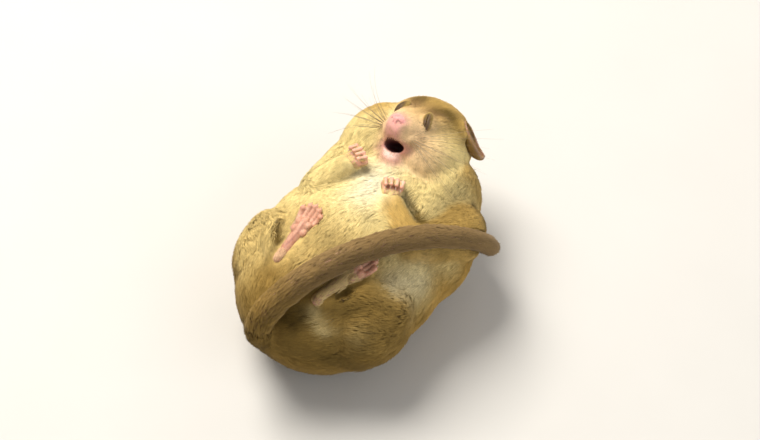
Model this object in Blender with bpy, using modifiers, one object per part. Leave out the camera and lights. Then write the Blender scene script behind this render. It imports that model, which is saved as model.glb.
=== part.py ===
"""A hazel dormouse asleep on its back, life size: a still model in closed solids.

The animal lies curled with its head flexed over its chest, both forepaws in fists under the
chin, the hind feet folded over the belly with the soles up, and the tail brought forward over
the belly and down the left flank. The solids follow the outer surface of the short coat.

Units in the tables are millimetres. X is the animal's left, Y points from rump to head, Z is up.
"""

import math

import bmesh
import bpy
import numpy as np
from mathutils import Matrix, Vector

MM = 0.001
GAP = 0.34  # clearance that touching pieces keep
TRIANGLES = {
    "torso": 2750,
    "neck": 1300,
    "head": 2800,
    "lower_jaw": 450,
    "nose": 420,
    "eye": 400,
    "whiskers": 620,
    "ear": 640,
    "foreleg": 650,
    "hindleg": 760,
    "forepaw": 730,
    "hindfoot": 860,
    "tail": 400,
}
FLOOR_CUT = 2.3  # height below which the back's fur is pressed flat by the floor

# The trunk: each lump is a centre and three half sizes.
BODY_HEIGHT = 18.0  # height of the trunk's mid line over the floor
CHEST = ((0.5, 4.0, -1.6), (19.2, 16.0, 15.0))
BELLY = ((0.4, -7.0, -0.8), (19.2, 20.0, 16.2))
RUMP = ((0.0, -15.6, -1.4), (17.4, 16.8, 15.0))
LOINS = ((0.0, -2.0, -6.0), (16.5, 22.0, 11.0))
TAIL_HEAD = (((-0.4, -21.0, -5.0), 8.0), ((-1.5, -29.0, -1.8), 4.3))
NECK = (
    ((-2.5, 14.5, -1.5), (13.5, 11.0, 11.0)),
    ((-9.2, 16.0, 2.0), (10.2, 11.4, 12.6)),
    ((5.2, 14.5, 0.5), (8.9, 9.8, 12.0)),
)

FOREARM_CREASE = ((2.8, 6.4, 13.3), (10.2, 3.4, 12.0), 1.25)  # two ends and a radius
FOOT_CREASE = {
    "left": ((11.6, -13.6, 12.0), (8.6, -22.0, 11.4), 1.1),
    "right": ((-11.2, -11.4, 12.4), (-7.0, -20.0, 12.4), 1.15),
}

# The head is built about its own centre on its own axes: forward, up, left.
HEAD_CENTRE = Vector((-2.6, 20.4, 8.0))
HEAD_LOOK = Vector((-0.20, -0.55, 0.81))
HEAD_CROWN = Vector((-0.05, 0.83, 0.55))
CRANIUM = ((-1.0, 0.7, -0.6), (9.7, 8.6, 9.8))
CHEEK = {
    "left": ((2.0, -3.0, 4.8), (7.0, 6.6, 6.0)),
    "right": ((2.0, -3.0, -5.8), (7.2, 7.2, 6.8)),
}
THROAT = ((-0.5, -5.0, 0.0), (7.6, 5.6, 8.0))
MUZZLE = (((3.0, -0.2, 0.0), 7.0), ((7.6, -0.1, 0.0), 4.9), ((10.6, 0.3, 0.0), 3.2))
UPPER_LIP = ((9.3, -1.3, 2.0), (2.8, 1.9, 2.1))
BROW = ((4.4, 4.4, 3.8), (3.2, 2.2, 2.8))
MOUTH = ((10.2, -3.65, 0.35), (4.6, 1.0, 2.4))
MOUTH_ROLL = 13.0  # degrees by which the opening leans, its left corner higher
JAW = (((3.2, -6.6, 0.0), 3.5), ((6.6, -6.9, 0.0), 2.7), ((8.6, -6.5, 0.0), 1.8))
LIP = ((8.5, -6.2, 0.0), (1.9, 1.5, 2.5))
NOSE = ((12.3, 1.0, 0.0), (1.5, 1.35, 1.75))
NOSTRIL = ((13.5, 0.9, 0.9), 0.45)
EYE = ((7.0, 3.3, 3.1), 2.3)
EYE_SLIT = (3.6, 0.5, 0.9)  # length, width, depth
EYE_SLIT_PLACE = Vector((0.90, 0.22, 0.38))  # the way from the eye's middle to the slit
EYE_SLIT_RUN = Vector((-0.25, 0.90, -0.20))

# The whiskers of each side grow from a pad of their own, first outwards, then with their lie.
WHISKER_PAD = ((9.4, -0.9, 3.35), (1.7, 1.2, 1.5))
WHISKER_OUT = {"left": (0.35, 0.0, 0.94), "right": (0.95, 0.0, 0.50)}
WHISKER_LIE = {"left": (-0.75, 0.0, 0.66), "right": (-0.62, 0.0, 0.78)}
WHISKER_FAN = (  # place forward on the pad, rise of the run, length
    (0.6, 0.55, 13.0),
    (0.2, 0.30, 17.0),
    (0.1, 0.06, 20.0),
    (0.6, -0.14, 17.0),
    (0.6, -0.36, 13.5),
)
WHISKER_RADIUS = (0.28, 0.12)  # at the root and at the tip

# Each ear is a cup laid back against the side of the head.
EAR_ROOT = Vector((0.2, 6.4, 6.2))
EAR_RUN = Vector((-0.80, -0.42, 0.26))
EAR_FACE = Vector((-0.28, 0.74, 0.61))
EAR_HALF = (3.8, 4.7, 1.5)  # half width, half length, depth of the cup
EAR_WALL = 0.68

# Limbs: named points on the trunk's own axes, with the radius of the furred limb there.
SHOULDER = {"left": ((13.4, 9.6, 2.5), 6.6), "right": ((-12.6, 9.4, 2.0), 6.4)}
ELBOW = {"left": ((11.2, -3.2, 9.4), 3.9), "right": ((-11.2, -3.2, 9.4), 3.9)}
WRIST_RADIUS = 2.2
HIP = ((9.8, -17.8, -2.2), 8.8)
KNEE = {"left": ((14.2, -14.2, 4.0), 6.1), "right": ((-13.3, -14.2, 3.4), 5.9)}
THIGH = {
    "left": ((12.8, -15.3, 0.2), (7.4, 10.2, 10.4)),
    "right": ((-12.4, -15.3, 0.0), (7.2, 10.0, 10.2)),
}
SHANK = {"left": ((11.6, -15.8, 8.8), 4.0), "right": ((-10.6, -15.2, 8.8), 4.0)}
ANKLE = {"left": ((6.7, -22.0, 9.4), 2.8), "right": ((-6.2, -20.4, 9.6), 2.8)}

# Paws, on their own axes: x across, y towards the digits, z out of the palm or sole.
FIST_WRIST = {"left": (3.2, 1.6, 13.2), "right": (-8.4, 2.6, 13.9)}
FIST_REACH = {"left": (-0.46, 0.86, 0.22), "right": (0.34, 0.92, 0.20)}
PALM_HALF = (1.95, 1.9, 1.35)
FINGER_SPREAD = (-1.65, -0.56, 0.56, 1.65)
FINGER_RADIUS = 0.5
FOOT_HEEL = {"left": (6.0, -23.6, 10.6), "right": (-5.4, -21.4, 10.8)}
FOOT_TOES = {"left": (9.4, -11.2, 13.6), "right": (-6.0, -9.6, 14.4)}
FOOT_WIDTH = 3.3
TOE_SPREAD = (-1.65, -0.85, 0.0, 0.85, 1.6)
TOE_LENGTH = (2.2, 3.3, 3.6, 3.3, 2.4)
TOE_RADIUS = 0.62
CLAW_LENGTH = 1.1

# The tail's middle line from the root, over the left foot and the flank, to the tip.
TAIL_LINE = (
    (-1.0, -25.0, -5.0),
    (-1.6, -30.0, -1.4),
    (-1.1, -32.6, 4.8),
    (0.1, -30.6, 10.4),
    (2.3, -25.4, 14.2),
    (4.7, -19.6, 16.0),
    (7.7, -14.0, 17.2),
    (10.6, -8.5, 16.7),
    (13.4, -3.4, 15.3),
    (16.1, 1.5, 12.6),
    (18.4, 6.2, 8.8),
    (19.8, 10.2, 4.2),
    (19.7, 13.4, -1.0),
    (17.8, 15.8, -5.7),
    (14.6, 17.2, -9.4),
)
TAIL_ROOT_RADIUS = 2.9
TAIL_MID_RADIUS = 2.4
TAIL_TIP_RADIUS = 1.4
TAIL_CUTS = (0.0, 0.24, 0.50, 0.76, 1.0)
TAIL_NAMES = ("tail_root", "tail_front", "tail_rear", "tail_tip")

# Colours of the furred and bare parts: red, green, blue and roughness.
COAT_BACK = (0.48, 0.30, 0.09, 0.85)
COAT_FLANK = (0.62, 0.45, 0.17, 0.85)
COAT_PALE = (0.85, 0.72, 0.42, 0.85)
TAIL_COAT = (0.36, 0.26, 0.13, 0.85)
BARE_PINK = (0.78, 0.42, 0.36, 0.5)
EAR_SKIN = (0.42, 0.26, 0.17, 0.6)
LID_SKIN = (0.20, 0.12, 0.07, 0.5)
WHISKER_HAIR = (0.16, 0.11, 0.08, 0.5)


def clear_scene():
    for obj in list(bpy.data.objects):
        bpy.data.objects.remove(obj)


def trunk_point(point):
    """A point on the trunk's axes, raised to its height over the floor, in metres."""
    return (Vector(point) + Vector((0, 0, BODY_HEIGHT))) * MM


def axes_matrix(origin, across, along, out):
    """A frame whose x, y and z run across, along and out, with its origin in metres."""
    turn = Matrix((across.normalized(), along.normalized(), out.normalized())).transposed()
    return Matrix.Translation(origin) @ turn.to_4x4()


def head_matrix():
    """Carries (forward, up, left) coordinates of the head, in millimetres, to the world."""
    forward = HEAD_LOOK.normalized()
    up = (HEAD_CROWN - HEAD_CROWN.dot(forward) * forward).normalized()
    left = up.cross(forward)
    frame = Matrix((forward, up, left)).transposed().to_4x4()
    return Matrix.Translation(trunk_point(HEAD_CENTRE)) @ frame @ Matrix.Scale(MM, 4)


def mirrored(point, side):
    """The same point on the named side, for a table written for the left."""
    sign = 1 if side == "left" else -1
    return (sign * point[0], point[1], point[2])


def head_side(point, side):
    """A head point on the named side, where the third coordinate is to the left."""
    return (point[0], point[1], point[2] if side == "left" else -point[2])


class Shape:
    """Closed lumps gathered in one mesh, before they are fused into a solid."""

    def __init__(self, frame=None):
        self.mesh = bmesh.new()
        self.frame = frame or Matrix.Translation(trunk_point((0, 0, 0))) @ Matrix.Scale(MM, 4)

    def ellipsoid(self, centre, halves, turn=None, rings=20):
        place = self.frame @ Matrix.Translation(Vector(centre))
        if turn is not None:
            place = place @ turn.to_4x4()
        place = place @ Matrix.Diagonal(Vector((*halves, 1.0)))
        bmesh.ops.create_uvsphere(
            self.mesh, u_segments=rings + 8, v_segments=rings, radius=1.0, matrix=place
        )
        return self

    def ball(self, centre, radius, rings=14):
        return self.ellipsoid(centre, (radius, radius, radius), rings=rings)

    def spindle(self, start, end, radius, rings=14):
        """A long ellipsoid between two points."""
        start, end = Vector(start), Vector(end)
        turn = (end - start).to_track_quat("Z", "Y").to_matrix()
        halves = (radius, radius, (end - start).length / 2)
        return self.ellipsoid((start + end) / 2, halves, turn, rings)

    def taper(self, start, start_radius, end, end_radius, rings=10):
        """A capsule with unlike ends: the hull of two spheres."""
        made = []
        for centre, radius in ((start, start_radius), (end, end_radius)):
            place = self.frame @ Matrix.Translation(Vector(centre)) @ Matrix.Scale(radius, 4)
            made += bmesh.ops.create_uvsphere(
                self.mesh, u_segments=rings + 6, v_segments=rings, radius=1.0, matrix=place
            )["verts"]
        hull = bmesh.ops.convex_hull(self.mesh, input=made)
        inner = [v for v in hull["geom_interior"] if isinstance(v, bmesh.types.BMVert)]
        bmesh.ops.delete(self.mesh, geom=inner, context="VERTS")
        loose = [e for e in self.mesh.edges if not e.link_faces]
        bmesh.ops.delete(self.mesh, geom=loose, context="EDGES")
        return self

    def chain(self, stations, rings=10):
        """Tapers through a row of (centre, radius) stations."""
        for (start, start_radius), (end, end_radius) in zip(stations, stations[1:]):
            self.taper(start, start_radius, end, end_radius, rings)
        return self

    def to_object(self, name):
        bmesh.ops.recalc_face_normals(self.mesh, faces=self.mesh.faces)
        data = bpy.data.meshes.new(name)
        self.mesh.to_mesh(data)
        self.mesh.free()
        obj = bpy.data.objects.new(name, data)
        bpy.context.scene.collection.objects.link(obj)
        return obj


def bake(obj):
    """Replaces the object's mesh by what its modifiers make of it."""
    graph = bpy.context.evaluated_depsgraph_get()
    graph.update()
    old = obj.data
    obj.data = bpy.data.meshes.new_from_object(obj.evaluated_get(graph))
    obj.modifiers.clear()
    bpy.data.meshes.remove(old)
    return obj


def thin_out(obj, triangles):
    """Lowers the triangle count where the surface is flattest."""
    count = sum(len(p.vertices) - 2 for p in obj.data.polygons)
    if count > triangles:
        thin = obj.modifiers.new("Thin", "DECIMATE")
        thin.ratio = triangles / count
        thin.use_collapse_triangulate = True
        bake(obj)
    return obj


def fuse(obj, grain, smoothing, triangles, whole=False):
    """One closed skin over all lumps of the object, smoothed and thinned to a triangle count."""
    remesh = obj.modifiers.new("Fuse", "REMESH")
    remesh.mode = "VOXEL"
    remesh.voxel_size = grain * MM
    remesh.adaptivity = 0.0
    bake(obj)
    if smoothing:
        smooth = obj.modifiers.new("Soften", "SMOOTH")
        smooth.factor = 0.5
        smooth.iterations = smoothing
        bake(obj)
    thin_out(obj, triangles)
    return obj if whole else keep_largest(obj)


def keep_largest(obj):
    """Drops all but the largest closed surface, so that the node stays one body."""
    work = bmesh.new()
    work.from_mesh(obj.data)
    bmesh.ops.remove_doubles(work, verts=work.verts, dist=0.00001 * MM)
    work.verts.ensure_lookup_table()
    unseen = set(work.verts)
    islands = []
    while unseen:
        start = unseen.pop()
        island = {start}
        queue = [start]
        while queue:
            for edge in queue.pop().link_edges:
                for vert in edge.verts:
                    if vert in unseen:
                        unseen.discard(vert)
                        island.add(vert)
                        queue.append(vert)
        islands.append(island)
    islands.sort(key=len, reverse=True)
    scraps = [v for island in islands[1:] for v in island]
    bmesh.ops.delete(work, geom=scraps, context="VERTS")
    work.to_mesh(obj.data)
    work.free()
    return obj


def grown_copy(neighbours, by, grain, triangles):
    """One helper solid round all the neighbours, swollen by the clearance, to cut with."""
    whole = bmesh.new()
    for neighbour in neighbours:
        whole.from_mesh(neighbour.data)
    data = bpy.data.meshes.new("room")
    whole.to_mesh(data)
    whole.free()
    cutter = bpy.data.objects.new("room_cutter", data)
    bpy.context.scene.collection.objects.link(cutter)
    swell = cutter.modifiers.new("Swell", "DISPLACE")
    swell.strength = by * MM
    swell.mid_level = 0.0
    bake(cutter)
    return fuse(cutter, grain, 0, triangles, whole=True)


def carve(obj, cutter, operation="DIFFERENCE"):
    """Cuts one object by another, which is then removed."""
    cut = obj.modifiers.new("Cut", "BOOLEAN")
    cut.operation = operation
    cut.solver = "EXACT"
    cut.object = cutter
    bake(obj)
    bpy.data.objects.remove(cutter)
    return keep_largest(obj)


def clear_of(obj, *neighbours, by=GAP, grain=0.5, triangles=3000):
    """Makes room in the object for its neighbours, with the clearance all round."""
    return carve(obj, grown_copy(neighbours, by, grain, triangles))


def paint(obj, colour):
    """A plain Principled material of the part's colour and roughness."""
    name = obj.name + "_finish"
    material = bpy.data.materials.new(name)
    material.use_nodes = True
    shader = material.node_tree.nodes["Principled BSDF"]
    shader.inputs["Base Color"].default_value = (*colour[:3], 1.0)
    shader.inputs["Roughness"].default_value = colour[3]
    shader.inputs["Metallic"].default_value = 0.0
    obj.data.materials.clear()
    obj.data.materials.append(material)
    obj.data.shade_smooth()
    return obj


def make_torso():
    shape = Shape()
    for centre, halves in (CHEST, BELLY, RUMP, LOINS):
        shape.ellipsoid(centre, halves, rings=32)
    shape.chain(TAIL_HEAD, rings=16)
    torso = fuse(shape.to_object("torso"), 1.1, 6, 3000)
    return carve(torso, Shape().spindle(*FOREARM_CREASE).to_object("crease_cutter"))


def make_neck():
    shape = Shape()
    for centre, halves in NECK:
        shape.ellipsoid(centre, halves, rings=26)
    return fuse(shape.to_object("neck"), 0.9, 4, 1300)


def whisker_pad(name, side, by=0.0):
    """The low swelling beside the muzzle that the whiskers grow from."""
    centre, halves = WHISKER_PAD
    halves = [half + by for half in halves]
    return Shape(head_matrix()).ellipsoid(head_side(centre, side), halves, rings=8).to_object(name)


def mouth_cutter():
    """The hollow of the open mouth, as a helper solid."""
    centre, halves = MOUTH
    roll = Matrix.Rotation(math.radians(-MOUTH_ROLL), 3, "X")
    return Shape(head_matrix()).ellipsoid(centre, halves, roll, rings=12).to_object("mouth")


def make_head():
    shape = Shape(head_matrix())
    shape.ellipsoid(*CRANIUM, rings=28)
    shape.ellipsoid(*THROAT, rings=20)
    shape.chain(MUZZLE, rings=16)
    for side in ("left", "right"):
        shape.ellipsoid(*CHEEK[side], rings=20)
        for centre, halves in (UPPER_LIP, BROW):
            shape.ellipsoid(head_side(centre, side), halves, rings=16)
    head = fuse(shape.to_object("head"), 0.62, 4, 2600)
    carve(head, mouth_cutter())
    centre, halves = NOSE
    room = [h + GAP for h in halves]
    carve(head, Shape(head_matrix()).ellipsoid(centre, room, rings=14).to_object("nose_room"))
    for side in ("left", "right"):
        centre, radius = EYE
        room = Shape(head_matrix()).ball(head_side(centre, side), radius + GAP, rings=14)
        carve(head, room.to_object("eye_room"))
        carve(head, whisker_pad("pad_room", side, GAP))
    return head


def make_jaw():
    shape = Shape(head_matrix()).chain(JAW, rings=12)
    shape.ellipsoid(*LIP, rings=12)
    jaw = fuse(shape.to_object("lower_jaw"), 0.45, 2, 500)
    return carve(jaw, mouth_cutter())


def make_nose():
    nose = Shape(head_matrix()).ellipsoid(*NOSE, rings=12).to_object("nose")
    for side in ("left", "right"):
        centre, radius = NOSTRIL
        dent = Shape(head_matrix()).ball(head_side(centre, side), radius, rings=6)
        carve(nose, dent.to_object("nostril_cutter"))
    return nose


def make_eye(side):
    """The closed eye: a low dome of lids with the slit between them."""
    centre, radius = EYE
    centre = head_side(centre, side)
    eye = Shape(head_matrix()).ball(centre, radius, rings=14).to_object("eye_" + side)
    out = Vector(head_side(EYE_SLIT_PLACE, side)).normalized()
    run = Vector(head_side(EYE_SLIT_RUN, side))
    along = (run - run.dot(out) * out).normalized()
    across = out.cross(along)
    length, width, depth = EYE_SLIT
    turn = Matrix((along, across, out)).transposed().to_4x4()
    place = head_matrix() @ Matrix.Translation(Vector(centre) + out * radius) @ turn
    slit = bmesh.new()
    bmesh.ops.create_cube(
        slit, size=1.0, matrix=place @ Matrix.Diagonal(Vector((length, width, depth, 1.0)))
    )
    bmesh.ops.recalc_face_normals(slit, faces=slit.faces)
    data = bpy.data.meshes.new("slit")
    slit.to_mesh(data)
    slit.free()
    cutter = bpy.data.objects.new("slit_cutter", data)
    bpy.context.scene.collection.objects.link(cutter)
    return carve(eye, cutter)


def ear_frame(side):
    """The ear's own axes on its root: across, along the ear, and out of the cup."""
    sign = 1 if side == "left" else -1
    root = Vector(head_side(EAR_ROOT, side))
    run = Vector((EAR_RUN.x, EAR_RUN.y, sign * EAR_RUN.z)).normalized()
    face = Vector((EAR_FACE.x, EAR_FACE.y, sign * EAR_FACE.z))
    face = (face - face.dot(run) * run).normalized()
    turn = Matrix((run.cross(face), run, face)).transposed().to_4x4()
    return head_matrix() @ Matrix.Translation(root) @ turn


def ear_room(side):
    """The hollow of the head in which the folded ear lies, as a helper solid."""
    half_width, half_length, depth = EAR_HALF
    room = Shape(ear_frame(side))
    room.ellipsoid((0.0, half_length * 0.86, 0.35), (half_width, half_length, depth), rings=18)
    return room.to_object("ear_room")


def make_ear(side):
    """A cupped ear: a deep dish of even wall, on a short stem that runs into the head."""
    frame = ear_frame(side)
    half_width, half_length, depth = EAR_HALF
    middle = (0.0, half_length * 0.86, 0.35)
    bowl = Shape(frame).ellipsoid(middle, (half_width, half_length, depth), rings=18)
    bowl = bowl.to_object("ear_" + side)
    inner_halves = (half_width - EAR_WALL, half_length - EAR_WALL, depth)
    inner_middle = (0.0, half_length * 0.90, 0.35 + EAR_WALL)
    inner = Shape(frame).ellipsoid(inner_middle, inner_halves, rings=16)
    carve(bowl, inner.to_object("ear_hollow"))
    top = Shape(frame)
    top.ellipsoid((0.0, half_length, 0.35 + 2 * depth), (9.0, 9.0, 1.7 * depth), rings=16)
    carve(bowl, top.to_object("ear_trim"))
    stem = Shape(frame).ellipsoid((0.0, 0.6, -0.6), (2.1, 1.9, 1.4), rings=12)
    return carve(bowl, stem.to_object("ear_stem"), "UNION")


def make_foreleg(side):
    """Upper arm and forearm as one furred limb, elbow out, wrist under the chin."""
    shape = Shape()
    wrist = (FIST_WRIST[side], WRIST_RADIUS)
    shape.chain((SHOULDER[side], ELBOW[side], wrist), rings=14)
    return fuse(shape.to_object("foreleg_" + side), 0.75, 3, 700)


def make_hindleg(side):
    """Thigh and shank folded together, knee forward, ankle by the tail."""
    shape = Shape()
    centre, halves = THIGH[side]
    tilt = Matrix.Rotation(math.radians(16), 3, "X")
    shape.ellipsoid(centre, halves, tilt, rings=20)
    shape.taper(mirrored(HIP[0], side), HIP[1], *KNEE[side], rings=14)
    shape.chain((KNEE[side], SHANK[side], ANKLE[side]), rings=12)
    leg = fuse(shape.to_object("hindleg_" + side), 0.85, 3, 1000)
    return carve(leg, Shape().spindle(*FOOT_CREASE[side]).to_object("crease_cutter"))


def fist_frame(side):
    along = Vector(FIST_REACH[side]).normalized()
    out = Vector((0.35 if side == "left" else -0.1, -0.25, 1.0))
    out = (out - out.dot(along) * along).normalized()
    return axes_matrix(trunk_point(FIST_WRIST[side]), along.cross(out), along, out)


def make_forepaw(side):
    """A fist: a short palm and four fingers that curl back over it."""
    shape = Shape(fist_frame(side) @ Matrix.Scale(MM, 4))
    shape.taper((0, -1.0, -0.2), 1.5, (0, 0.8, 0.0), 1.45)
    shape.ellipsoid((0, 1.6, 0.0), PALM_HALF, rings=12)
    for across in FINGER_SPREAD:
        reach = 3.5 - 0.22 * abs(across)
        knuckle = (across * 1.08, reach, 0.1)
        bend = (across * 1.04, reach + 0.35, 1.3)
        tip = (across * 0.95, reach - 0.95, 2.05)
        stations = [
            ((across * 0.8, 2.0, -0.2), FINGER_RADIUS + 0.1),
            (knuckle, FINGER_RADIUS + 0.08),
            (bend, FINGER_RADIUS),
            (tip, FINGER_RADIUS - 0.12),
        ]
        shape.chain(stations, rings=8)
    return fuse(shape.to_object("forepaw_" + side), 0.3, 1, 800)


def foot_frame(side):
    heel, toes = Vector(FOOT_HEEL[side]), Vector(FOOT_TOES[side])
    along = (toes - heel).normalized()
    out = Vector((0.10 if side == "left" else 0.10, -0.2, 1.0))
    out = (out - out.dot(along) * along).normalized()
    return axes_matrix(trunk_point(heel), along.cross(out), along, out), (toes - heel).length


def make_hindfoot(side):
    """A long foot with the sole up: heel, sole pads, and five toes with short claws."""
    frame, length = foot_frame(side)
    shape = Shape(frame @ Matrix.Scale(MM, 4))
    half = FOOT_WIDTH / 2
    ball = length - 3.6
    shape.chain(
        (((0, 0.4, -0.1), 1.35), ((0, ball * 0.5, 0.0), 1.35), ((0, ball - 0.6, 0.0), 1.4)),
        rings=10,
    )
    shape.ellipsoid((0, ball - 0.8, 0.0), (half + 0.35, 2.0, 1.15), rings=12)
    for x, y, z, radius in (
        (0.95, ball - 1.9, 0.75, 0.72),
        (-0.95, ball - 1.9, 0.75, 0.72),
        (0.85, ball - 0.2, 0.75, 0.66),
        (0.0, ball + 0.25, 0.8, 0.62),
        (-0.85, ball - 0.2, 0.75, 0.66),
    ):
        shape.ball((x, y, z), radius, rings=8)
    for across, reach in zip(TOE_SPREAD, TOE_LENGTH):
        root = (across * 0.85, ball - 0.2, 0.0)
        middle = (across * 1.12, ball + reach * 0.55, 0.1)
        tip = (across * 1.22, ball + reach, 0.55)
        claw = (across * 1.24, ball + reach + CLAW_LENGTH, 1.1)
        stations = [(root, TOE_RADIUS + 0.08), (middle, TOE_RADIUS), (tip, TOE_RADIUS)]
        shape.chain(stations, rings=8)
        shape.taper(tip, TOE_RADIUS * 0.62, claw, 0.16, rings=6)
    return fuse(shape.to_object("hindfoot_" + side), 0.3, 1, 1000)


def make_tube(name, centres, radii, resolution):
    """A closed tube through points in metres: a bevelled curve with filled caps, as a mesh."""
    curve = bpy.data.curves.new(name, "CURVE")
    curve.dimensions = "3D"
    curve.bevel_depth = MM
    curve.bevel_resolution = resolution
    curve.use_fill_caps = True
    spline = curve.splines.new("POLY")
    spline.points.add(len(centres) - 1)
    for point, centre, radius in zip(spline.points, centres, radii):
        point.co = (*centre, 1.0)
        point.radius = radius
    line = bpy.data.objects.new(name + "_line", curve)
    bpy.context.scene.collection.objects.link(line)
    bpy.context.view_layer.update()
    graph = bpy.context.evaluated_depsgraph_get()
    data = bpy.data.meshes.new_from_object(line.evaluated_get(graph))
    bpy.data.objects.remove(line)
    work = bmesh.new()
    work.from_mesh(data)
    bmesh.ops.remove_doubles(work, verts=work.verts, dist=0.01 * MM)
    bmesh.ops.recalc_face_normals(work, faces=work.faces)
    work.to_mesh(data)
    work.free()
    tube = bpy.data.objects.new(name, data)
    bpy.context.scene.collection.objects.link(tube)
    return tube


def whisker_line(side, shift, rise, length, steps=6):
    """One whisker's middle line in head coordinates: outwards at first, then bent to its lie."""
    (forward, up, out), halves = WHISKER_PAD
    start = Vector((forward + shift, up + 0.5 * rise, out + 0.5 * halves[2]))
    outward = (Vector(WHISKER_OUT[side]) + Vector((0, rise, 0))).normalized()
    lie = (Vector(WHISKER_LIE[side]) + Vector((0, rise, 0))).normalized()
    bend = start + outward * length * 0.45
    tip = bend + lie * length * 0.55
    points = []
    for k in range(steps):
        t = k / (steps - 1)
        point = start.lerp(bend, t).lerp(bend.lerp(tip, t), t)
        points.append(Vector(head_side(point, side)))
    return points


def make_whiskers(side):
    """The pad at the side of the muzzle with its fan of whiskers."""
    pad = whisker_pad("whiskers_" + side, side)
    thick, thin = WHISKER_RADIUS
    for shift, rise, length in WHISKER_FAN:
        line = [head_matrix() @ point for point in whisker_line(side, shift, rise, length)]
        radii = [thick + (thin - thick) * (k / (len(line) - 1)) ** 2 for k in range(len(line))]
        carve(pad, make_tube("whisker", line, radii, 1), "UNION")
    return pad


def spline_point(points, t):
    """A Catmull-Rom curve through the points, with t running from 0 to 1."""
    spans = len(points) - 1
    at = min(max(t, 0.0), 1.0) * spans
    i = min(int(at), spans - 1)
    u = at - i
    p = [Vector(points[min(max(k, 0), spans)]) for k in (i - 1, i, i + 1, i + 2)]
    return 0.5 * (
        2 * p[1]
        + (p[2] - p[0]) * u
        + (2 * p[0] - 5 * p[1] + 4 * p[2] - p[3]) * u**2
        + (3 * p[1] - p[0] - 3 * p[2] + p[3]) * u**3
    )


def tail_radius(t):
    """Nearly even for most of its length, a little thicker at the root, rounded at the tip."""
    if t < 0.5:
        return TAIL_ROOT_RADIUS + (TAIL_MID_RADIUS - TAIL_ROOT_RADIUS) * t / 0.5
    fall = (t - 0.5) / 0.5
    return TAIL_MID_RADIUS + (TAIL_TIP_RADIUS - TAIL_MID_RADIUS) * fall**1.6


def make_tail_length(index):
    """One length of the tail: a bevelled curve with filled caps, as a closed mesh."""
    name = TAIL_NAMES[index]
    start, end = TAIL_CUTS[index], TAIL_CUTS[index + 1]
    gap = GAP / 72.0
    start += gap / 2 if index else 0.0
    end -= gap / 2 if index < len(TAIL_NAMES) - 1 else 0.0
    steps = 11
    stations = [start + (end - start) * k / (steps - 1) for k in range(steps)]
    centres = [trunk_point(spline_point(TAIL_LINE, t)) for t in stations]
    obj = make_tube(name, centres, [tail_radius(t) for t in stations], 2)
    if index == len(TAIL_NAMES) - 1:
        tip = Shape().ball(spline_point(TAIL_LINE, 1.0), TAIL_TIP_RADIUS, rings=10)
        carve(obj, tip.to_object("tail_end"), "UNION")
    return obj


def press_on_floor(*objs):
    """Cuts the underside flat where the back's fur is pressed on the floor."""
    for obj in objs:
        block = bmesh.new()
        place = Matrix.Translation(Vector((0, 0, FLOOR_CUT - 50.0)) * MM)
        bmesh.ops.create_cube(block, size=100.0 * MM, matrix=place)
        data = bpy.data.meshes.new("floor")
        block.to_mesh(data)
        block.free()
        cutter = bpy.data.objects.new("floor_cutter", data)
        bpy.context.scene.collection.objects.link(cutter)
        carve(obj, cutter)


def settle(nodes):
    """Moves the whole animal so that the origin is under its middle, on the floor."""
    corners = np.array([v.co for obj in nodes for v in obj.data.vertices])
    low, high = corners.min(axis=0), corners.max(axis=0)
    middle = Vector(((low[0] + high[0]) / 2, (low[1] + high[1]) / 2, low[2]))
    for obj in nodes:
        obj.data.transform(Matrix.Translation(-middle))
    return -middle


def main():
    clear_scene()
    sides = ("left", "right")
    tail = [make_tail_length(i) for i in range(len(TAIL_NAMES))]
    feet = {s: make_hindfoot(s) for s in sides}
    fists = {s: make_forepaw(s) for s in sides}
    eyes = {s: make_eye(s) for s in sides}
    ears = {s: make_ear(s) for s in sides}
    whiskers = {s: make_whiskers(s) for s in sides}
    nose = make_nose()
    jaw = make_jaw()
    forelegs = {s: make_foreleg(s) for s in sides}
    hindlegs = {s: make_hindleg(s) for s in sides}
    head = make_head()
    neck = make_neck()
    torso = make_torso()

    for side in sides:
        clear_of(feet[side], *tail)
        clear_of(forelegs[side], fists[side], *tail)
        clear_of(hindlegs[side], feet[side], *tail)
        clear_of(fists[side], jaw)
    rooms = [ear_room(s) for s in sides]
    pads = [whisker_pad("pad", s) for s in sides]
    clear_of(head, jaw, *ears.values(), *rooms, *forelegs.values(), triangles=2400)
    around_neck = [*forelegs.values(), *fists.values(), *ears.values(), *rooms, *pads, *tail]
    clear_of(neck, head, jaw, *around_neck)
    for helper in (*rooms, *pads):
        bpy.data.objects.remove(helper)
    limbs = [*forelegs.values(), *hindlegs.values(), *feet.values(), *fists.values()]
    clear_of(torso, neck, head, jaw, *limbs, *tail)

    paint(torso, COAT_FLANK)
    paint(neck, COAT_BACK)
    paint(head, COAT_PALE)
    paint(jaw, COAT_PALE)
    paint(nose, BARE_PINK)
    for side in sides:
        paint(eyes[side], LID_SKIN)
        paint(ears[side], EAR_SKIN)
        paint(whiskers[side], WHISKER_HAIR)
        paint(forelegs[side], COAT_PALE)
        paint(hindlegs[side], COAT_FLANK)
        paint(fists[side], BARE_PINK)
        paint(feet[side], BARE_PINK)
    for length in tail:
        paint(length, TAIL_COAT)

    nodes = [torso, neck, head, jaw, nose, *tail]
    for group in (eyes, ears, whiskers, forelegs, hindlegs, fists, feet):
        nodes += group.values()
    for obj in nodes:
        kind = obj.name if obj.name in TRIANGLES else obj.name.split("_")[0]
        thin_out(obj, TRIANGLES[kind])
    press_on_floor(torso)
    shift = settle(nodes)
    animal = bpy.data.collections.new("dormouse")
    bpy.context.scene.collection.children.link(animal)
    for obj in nodes:
        bpy.context.scene.collection.objects.unlink(obj)
        animal.objects.link(obj)
    return shift


if __name__ == "__main__":
    main()
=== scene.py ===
import math

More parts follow.
